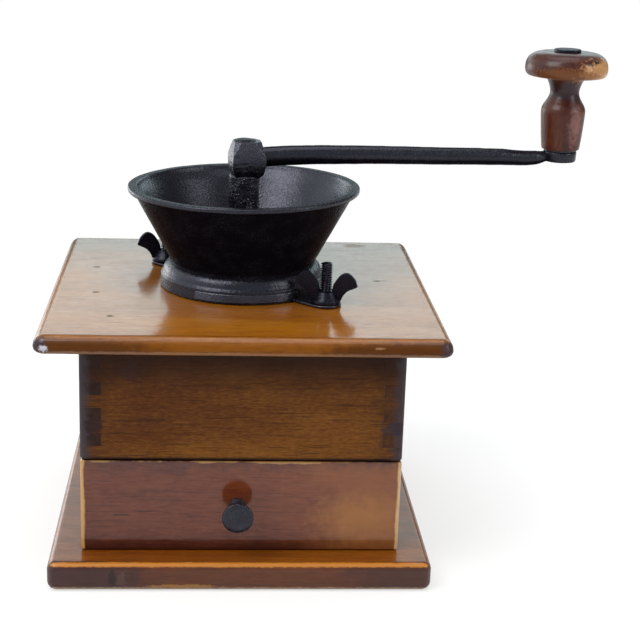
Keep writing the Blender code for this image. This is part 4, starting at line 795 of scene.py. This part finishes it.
def boltAngle(side):
    return hopper["boltAngle"] + (0 if side == "front" else 180)


def boltPlace(side):
    return Vector((*onCircle(hopper["bolts"], boltAngle(side)), 0.0))


def addLug(side):
    radius, thickness = hopper["lug"]
    outline = [(hopper["neck"][0], radius), (hopper["neck"][0], -radius)]
    end = [onCircle(radius, a) for a in range(-90, 91, 9)]
    outline += [(hopper["bolts"] + along, across) for along, across in end]
    move = spin(boltAngle(side), (0.0, 0.0, footLevel + thickness / 2))
    finishPiece(addPlate("lug_" + side, outline, thickness, hopper["edge"], move), glossIron, "hopper")


def addFootStrip():
    # The blank raised strip on the front of the foot, which leans with it
    inner, outer = hopper["foot"] - footStrip["inset"], hopper["foot"] + footStrip["proud"]
    first, last = footStrip["span"]
    outline = [onCircle(outer, a) for a in range(first, last + 1)]
    outline += [onCircle(inner, a) for a in range(last, first - 1, -1)]
    move = Matrix.Translation((0.0, 0.0, footLevel + footStrip["level"]))
    piece = addPlate("foot_strip", outline, footStrip["thickness"], footStrip["edge"], move)
    top = footStrip["level"] + footStrip["thickness"] / 2
    for corner in piece.data.vertices:
        lean = 1.0 - footStrip["lean"] * (corner.co.z - footLevel) / top / outer
        corner.co = Vector((corner.co.x * lean, corner.co.y * lean, corner.co.z))
    finishPiece(piece, glossIron, "hopper")


def addSpider():
    # The bush that guides the spindle in the throat, on two arms
    bore, radius = spider["bush"]
    low, high = spider["bushSpan"]
    bush = [(bore, low, 0), (radius, low, 0.0004), (radius, high, 0.0006), (bore, high, 0.0004)]
    turn("spider_bush", easedLine(bush, closed=True), paintedIron, "hopper", 64, onFoot)
    inner, outer, half = spider["arm"]
    outline = [(inner, -half), (outer, -half), (outer, half), (inner, half)]
    for side in ("front", "rear"):
        move = spin(boltAngle(side), (0.0, 0.0, footLevel + spider["armLevel"]))
        arm = addPlate("spider_" + side, outline, spider["armThickness"], spider["edge"], move)
        finishPiece(arm, paintedIron, "hopper")


for side in ("front", "rear"):
    addLug(side)
addFootStrip()
addSpider()
print("hopper made")


# Bridge bolts and wing nuts; the washers keep their CAD shape

clamps = dict(
    bolt=(0.003175, 0.0009, 0.00127), head=(0.0063, 0.004), nut=(0.0078, 0.0053, 0.005),
    skirt=(0.0073, 0.0010), wing=(0.0164, 0.0154, 0.0024), wingEdge=0.0009, headEdge=0.0005,
    turned={"front": -16, "rear": 12},
    wingShares=((0.215, 0.03), (0.215, 0.48), (0.32, 0.72), (0.44, 0.895), (0.56, 0.98), (0.667, 1.0),
                (0.76, 0.968), (0.85, 0.89), (0.94, 0.77), (0.99, 0.63), (1.0, 0.54), (0.86, 0.46),
                (0.72, 0.385), (0.60, 0.26), (0.52, 0.12), (0.475, 0.03)))


def addBolt(side):
    node = "bridge_bolt_" + side
    low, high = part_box(node)
    radius, depth, pitch = clamps["bolt"]
    headRadius, head = clamps["head"]
    values = {"Radius": radius, "Depth": depth, "Pitch": pitch, "Bottom": low.z + head - 0.0002,
              "Top": high.z - 0.0003, "Steps": 40, "Rows": int((high.z - low.z - head) / pitch * 10),
              "Material": screwIron}
    rod = runTree(node + "_thread", threadTree, values, Matrix.Translation(boltPlace(side)), 60)
    finishPiece(rod, screwIron, node)
    hexagon = [onCircle(headRadius, a) for a in range(0, 360, 60)]
    move = spin(boltAngle(side), boltPlace(side) + Vector((0.0, 0.0, low.z + head / 2)))
    finishPiece(addPlate(node + "_head", hexagon, head, clamps["headEdge"], move), paintedIron, node)


def addWingNut(side):
    node = "wing_nut_" + side
    base, crown, height = clamps["nut"]
    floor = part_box(node)[0].z
    bore = clamps["bolt"][0] + 0.0003
    skirt, hang = clamps["skirt"]
    corners = [(bore, 0.0, 0), (skirt, 0.0, 0.0001), (skirt, -hang, 0.0001), (base, -hang, 0.0003),
               (base - 0.0001, 0.0005, 0.0005), (crown + 0.0012, 0.0022, 0.001),
               (crown, height - 0.0008, 0.0008), (crown - 0.0004, height, 0.0003), (bore, height, 0)]
    move = spin(clamps["turned"][side], boltPlace(side) + Vector((0.0, 0.0, floor)))
    turn(node + "_base", easedLine(corners, closed=True), darkIron, node, 72, move, 0.0004, 260.0)
    reach, rise, thickness = clamps["wing"]
    for hand in (-1, 1):
        points = [(hand * reach * across, rise * up) for across, up in clamps["wingShares"]]
        outline = smoothLine(points, 4, closed=True)
        name = "%s_wing_%s" % (node, "left" if hand < 0 else "right")
        wing = addPlate(name, outline, thickness, clamps["wingEdge"], move @ facingFront)
        finishPiece(wing, darkIron, node)


for side in ("front", "rear"):
    addBolt(side)
    addWingNut(side)
print("clamps made")


# Crank: spindle, hub, arm and eye

crank = dict(
    turned=8.5, radius=0.178, hubFloor=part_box("crank_arm")[0].z, hubHeight=0.0195, hubHalf=0.0090,
    hubOffset=0.0012,
    hubShares=((0.0, 0.66), (0.09, 0.85), (0.20, 0.935), (0.34, 0.985), (0.48, 1.0), (0.66, 0.965),
               (0.80, 0.905), (1.0, 0.78)),
    facetShares=((-0.05, 1.50), (0.61, 1.38), (1.05, 0.76)), hubEdge=0.0003,
    armStart=0.005, armEnd=0.171, armHeight=0.0108, armRise=0.0105, armWidthShare=0.84,
    armShares=((0.0, 0.0, 1.0), (0.14, 0.09, 0.98), (0.36, 0.088, 0.94), (0.60, 0.01, 0.90),
               (0.82, -0.06, 0.86), (0.955, -0.12, 0.74), (1.0, -0.01, 0.52)),
    eye=(0.0092, 0.0075, 0.0057))
spindle = dict(rod=0.0056, block=(0.0081, 0.1501, 0.1968), peen=0.0062)
crankTurn = spin(crank["turned"])
crankEye = crankTurn @ Vector((crank["radius"], 0.0, 0.0))


def addSquare(name, shares, quarter):
    # Four flat sides whose half width changes with height
    shape = bmesh.new()
    loops = []
    for up, width in shares:
        reach = crank["hubHalf"] * width * math.sqrt(2.0)
        level = crank["hubFloor"] + crank["hubHeight"] * up
        ring = [onCircle(reach, quarter + 90 * k) for k in range(4)]
        loops.append([shape.verts.new((across + crank["hubOffset"], along, level)) for across, along in ring])
    for lower, upper in zip(loops, loops[1:]):
        for k in range(4):
            shape.faces.new((lower[k], lower[(k + 1) % 4], upper[(k + 1) % 4], upper[k]))
    shape.faces.new(loops[0])
    shape.faces.new(loops[-1])
    return addShape(name, shape)


def roughen(piece, edgeLength, depth, grain):
    # Cast faces: cut small, then moved by a noise that follows the surface
    remesh = piece.modifiers.new("Fine", "REMESH")
    remesh.mode = "VOXEL"
    remesh.voxel_size = edgeLength
    settle(piece, 180)
    clouds = bpy.data.textures.new(piece.name, "CLOUDS")
    clouds.noise_scale = grain
    clouds.noise_depth = 2
    push = piece.modifiers.new("Cast", "DISPLACE")
    push.texture = clouds
    push.texture_coords = "LOCAL"
    push.strength = depth
    push.mid_level = 0.5
    return settle(piece, 180)


def addHub():
    piece = addSquare("crank_hub", crank["hubShares"], 45)
    facets = addSquare("hub_facets", crank["facetShares"], 0)
    cut = piece.modifiers.new("Corners", "BOOLEAN")
    cut.operation = "INTERSECT"
    cut.solver = "EXACT"
    cut.object = facets
    bevel = piece.modifiers.new("Edges", "BEVEL")
    bevel.width = crank["hubEdge"]
    bevel.segments = 3
    piece.matrix_world = crankTurn
    settle(piece, 180)
    bpy.data.objects.remove(facets)
    finishPiece(roughen(piece, 0.00025, 0.0004, 0.0042), handledIron, "crank_arm")


def addArm():
    curve = bpy.data.curves.new("arm", "CURVE")
    curve.dimensions = "3D"
    curve.bevel_depth = crank["armHeight"] / 2
    curve.bevel_resolution = 7
    curve.resolution_u = 36
    curve.use_fill_caps = True
    spline = curve.splines.new("BEZIER")
    spline.bezier_points.add(len(crank["armShares"]) - 1)
    length = crank["armEnd"] - crank["armStart"]
    for point, (along, rise, size) in zip(spline.bezier_points, crank["armShares"]):
        level = crank["hubFloor"] + crank["armRise"] + crank["armHeight"] * rise
        point.co = (crank["armStart"] + length * along, 0.0, level)
        point.radius = size
        point.handle_left_type = "AUTO"
        point.handle_right_type = "AUTO"
    rod = addObject("crank_bar", curve)
    mesh = shapeNow(rod)
    bpy.data.objects.remove(rod)
    mesh.transform(crankTurn @ Matrix.Diagonal((1.0, crank["armWidthShare"], 1.0, 1.0)))
    bar = addObject("crank_bar", mesh)
    finishPiece(roughen(bar, 0.0005, 0.0003, 0.008), paintedIron, "crank_arm")


def addEye():
    radius, rise, thickness = crank["eye"]
    low = crank["hubFloor"] + rise
    high = low + thickness
    corners = [(0.0, low, 0), (radius - 0.0002, low, 0.0009), (radius, high, 0.001), (0.0, high, 0)]
    turn("crank_eye", easedLine(corners), paintedIron, "crank_arm", 96, Matrix.Translation(crankEye), 0.00025,
         200.0)


def addSpindle():
    low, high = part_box("spindle")
    rod, peen = spindle["rod"], spindle["peen"]
    block, floor, shoulder = spindle["block"]
    corners = [(0.0, low.z, 0), (rod, low.z, 0.0005), (rod, floor, 0), (block, floor, 0.0008),
               (block, shoulder, 0.0012), (0.0, shoulder, 0)]
    turn("spindle_rod", easedLine(corners), glintSpeckledIron, "spindle", 96, crankTurn, 0.0005, 300.0)
    brim = high.z - 0.0013
    dome = [(0.0, brim - 0.0016, 0), (peen, brim - 0.0016, 0), (peen, brim + 0.0004, 0.0003),
            (0.0036, high.z - 0.0002, 0.001), (0.0, high.z, 0)]
    turn("spindle_peen", easedLine(dome, longest=0.0006), paintedIron, "spindle", 72, crankTurn, 0.0003,
         300.0)


addHub()
addArm()
addEye()
addSpindle()
print("crank made")


# Grip and its rivet

grip = dict(
    radius=0.0226, bore=0.0034,
    shares=((0.45, 0.0), (0.465, 0.015), (0.496, 0.131), (0.524, 0.283), (0.536, 0.395), (0.50, 0.45),
            (0.422, 0.505), (0.364, 0.556), (0.355, 0.605), (0.387, 0.662), (0.44, 0.713), (0.51, 0.748),
            (0.60, 0.760), (0.88, 0.756), (0.96, 0.774), (0.995, 0.809), (1.0, 0.851), (0.98, 0.897),
            (0.915, 0.946), (0.79, 0.983), (0.60, 1.0), (0.36, 1.0)))
rivet = dict(tail=(0.0042, 0.0036), shank=0.0031, head=(0.0074, 0.0072), tailHeight=0.0008, headHeight=0.0016)


def addGrip():
    floor, top = (corner.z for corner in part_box("grip"))
    points = [(grip["radius"] * across, floor + (top - floor) * up) for across, up in grip["shares"]]
    lowBore, highBore = Vector((grip["bore"], floor)), Vector((grip["bore"], top))
    line = [lowBore, *smoothLine(points, 8), highBore, lowBore]
    turn("grip_turned", line, varnishedGrip, "grip", 160, Matrix.Translation(crankEye))


def addRivet():
    low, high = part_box("grip_pin")
    tail, tailTop = rivet["tail"]
    head, headTop = rivet["head"]
    neck, seat = low.z + rivet["tailHeight"], high.z - rivet["headHeight"]
    corners = [(0.0, low.z, 0), (tail, low.z, 0.0003), (tailTop, neck, 0), (rivet["shank"], neck, 0),
               (rivet["shank"], seat, 0), (head, seat, 0.0002), (headTop, high.z - 0.0001, 0.0003),
               (0.0, high.z, 0)]
    turn("rivet", easedLine(corners), darkIron, "grip_pin", 72, Matrix.Translation(crankEye), 0.0002, 300.0)


addGrip()
addRivet()
print("grip made")


# Drawer knob

knob = dict(across=-0.002, disc=(0.008, 0.0026), reach=0.0165, stem=0.0035, foot=0.0048)


def addKnob():
    radius, thickness = knob["disc"]
    reach, stem, foot = knob["reach"], knob["stem"], knob["foot"]
    corners = [(0.0, 0.0004, 0), (foot, 0.0004, 0.0004), (stem, 0.003, 0.001), (stem, reach - 0.0052, 0.001),
               (foot, reach - thickness - 0.0006, 0.0006), (radius - 0.0002, reach - thickness, 0.0007),
               (radius, reach - 0.0007, 0.0008), (radius - 0.0022, reach, 0.001), (0.0, reach, 0)]
    low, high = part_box("drawer_knob")
    middle = Vector((knob["across"], drawerLow.y, (low.z + high.z) / 2))
    move = Matrix.Translation(middle) @ facingFront
    turn("knob", easedLine(corners, longest=0.0006), turnedIron, "drawer_knob", 96, move, 0.0004, 380.0)


addKnob()
print("knob made")


# What keeps its CAD shape

for node in sorted(nodes):
    if node in remadeNodes:
        continue
    dress(node, materialOf.get(node) or materialOfSlot[slotOf[node]])
print("pieces dressed")


# Camera, floor and light

view = dict(place=(-0.01617, -0.78472, 0.35248), pitch=16.74, yaw=4.33, roll=2.0, lens=83.68)


def addCamera():
    pitch, yaw, roll = (math.radians(view[key]) for key in ("pitch", "yaw", "roll"))
    ahead = Vector((math.sin(yaw) * math.cos(pitch), math.cos(yaw) * math.cos(pitch), -math.sin(pitch)))
    level = ahead.cross(Vector((0.0, 0.0, 1.0))).normalized()
    upright = level.cross(ahead)
    across = level * math.cos(roll) + upright * math.sin(roll)
    up = upright * math.cos(roll) - level * math.sin(roll)
    camera = addObject("camera", bpy.data.cameras.new("camera"))
    turned = Matrix((across, up, -ahead)).transposed().to_4x4()
    camera.matrix_world = Matrix.Translation(view["place"]) @ turned
    camera.data.lens = view["lens"]
    camera.data.sensor_width = 36.0
    camera.data.clip_start = 0.02
    scene.camera = camera


def addLamp(name, look):
    lamp = bpy.data.lights.new(name, "AREA")
    lamp.shape = "RECTANGLE"
    lamp.size, lamp.size_y = look["size"]
    lamp.energy = look["power"]
    lamp.color = look.get("colour", (1.0, 1.0, 1.0))
    made = addObject(name, lamp)
    made.location = look["place"]
    aim = Vector(look["aim"]) - Vector(look["place"])
    made.rotation_euler = aim.to_track_quat("-Z", "Y").to_euler()
    made.visible_camera = False


def addWorld(light, gloss):
    world = bpy.data.worlds.new("studio")
    scene.world = world
    world.use_nodes = True
    tree = world.node_tree
    tree.nodes.clear()
    rays = addNode(tree, "ShaderNodeLightPath").outputs
    straight = calc(tree, "MAXIMUM", rays["Is Camera Ray"], rays["Is Transmission Ray"])
    lit = addNode(tree, "ShaderNodeBackground", {"Color": (1, 1, 1), "Strength": light})
    # Mirrored surroundings: pale panels on the left and overhead, dimmer ones elsewhere
    towards = splitUp(tree, addNode(tree, "ShaderNodeTexCoord").outputs["Generated"])
    panels = 0.0
    for side, axis, low, high in (("left", "X", -0.35, -0.75), ("right", "X", 0.45, 0.85),
                                  ("above", "Z", 0.35, 0.85), ("front", "Y", -0.25, -0.8)):
        panels = calc(tree, "MAXIMUM", panels, remap(tree, towards[axis], low, high, 0.0, gloss[side]))
    panels = plus(tree, panels, gloss["around"])
    mirrored = addNode(tree, "ShaderNodeBackground", {"Color": (0.88, 0.94, 1), "Strength": panels})
    shown = addNode(tree, "ShaderNodeBackground", {"Color": (1, 1, 1), "Strength": 1.0})
    unseen = addNode(tree, "ShaderNodeMixShader", {0: rays["Is Glossy Ray"], 1: lit.outputs[0],
                                                   2: mirrored.outputs[0]})
    mix = addNode(tree, "ShaderNodeMixShader", {0: straight, 1: unseen.outputs[0], 2: shown.outputs[0]})
    out = addNode(tree, "ShaderNodeOutputWorld")
    tree.links.new(mix.outputs[0], out.inputs["Surface"])


def addFloor():
    mesh = bpy.data.meshes.new("floor")
    half = 4.0
    level = -0.0001
    mesh.from_pydata([(-half, -half, level), (half, -half, level), (half, half, level), (-half, half, level)],
                     [], [(0, 1, 2, 3)])
    floor = addObject("floor", mesh)
    material, tree, shader = newMaterial("paper")
    feedAll(tree, shader, {"Base Color": (0.82, 0.82, 0.82), "Roughness": 0.9, "Specular IOR Level": 0.1})
    rays = addNode(tree, "ShaderNodeLightPath").outputs
    # For the camera the paper turns to plain white, soon round the grinder and fully further off
    far = lengthOf(tree, addNode(tree, "ShaderNodeTexCoord").outputs["Object"])
    white = remap(tree, far, 0.15, 0.6, 0.5, 1.0)
    strength = remap(tree, far, 0.15, 0.6, 1.2, 1.0)
    glow = addNode(tree, "ShaderNodeEmission", {"Color": (1, 1, 1), "Strength": strength})
    lift = addNode(tree, "ShaderNodeMixShader", {0: white, 1: shader.outputs[0], 2: glow.outputs[0]})
    keep = addNode(tree, "ShaderNodeMixShader", {0: rays["Is Camera Ray"], 1: shader.outputs[0],
                                                 2: lift.outputs[0]})
    out = tree.nodes["Material Output"]
    tree.links.new(keep.outputs[0], out.inputs["Surface"])
    mesh.materials.append(material)


addCamera()
addWorld(0.5, dict(left=1.3, right=0.15, above=0.35, front=0.55, around=0.05))
addFloor()
addLamp("back_panel", dict(place=(0.1, 1.35, 0.60), aim=(0.0, 0.0, 0.136), size=(2.4, 0.46), power=5.6,
                           colour=(0.77, 0.97, 1.0)))
addLamp("key", dict(place=(-0.75, -0.55, 1.3), aim=(0.0, 0.0, 0.1), size=(0.9, 0.9), power=14.0))
addLamp("overhead", dict(place=(0.1, 0.0, 1.6), aim=(0.0, 0.0, 0.1), size=(1.4, 1.0), power=7.0))
addLamp("left_panel", dict(place=(-0.9, 1.1, 0.18), aim=(0.0, 0.0, 0.2), size=(0.8, 0.4), power=3.0))
addLamp("right_panel", dict(place=(1.2, -0.6, 0.7), aim=(0.1, 0.0, 0.15), size=(0.5, 0.9), power=5.0))
scene.view_settings.view_transform = "Standard"
print("camera, floor and light")
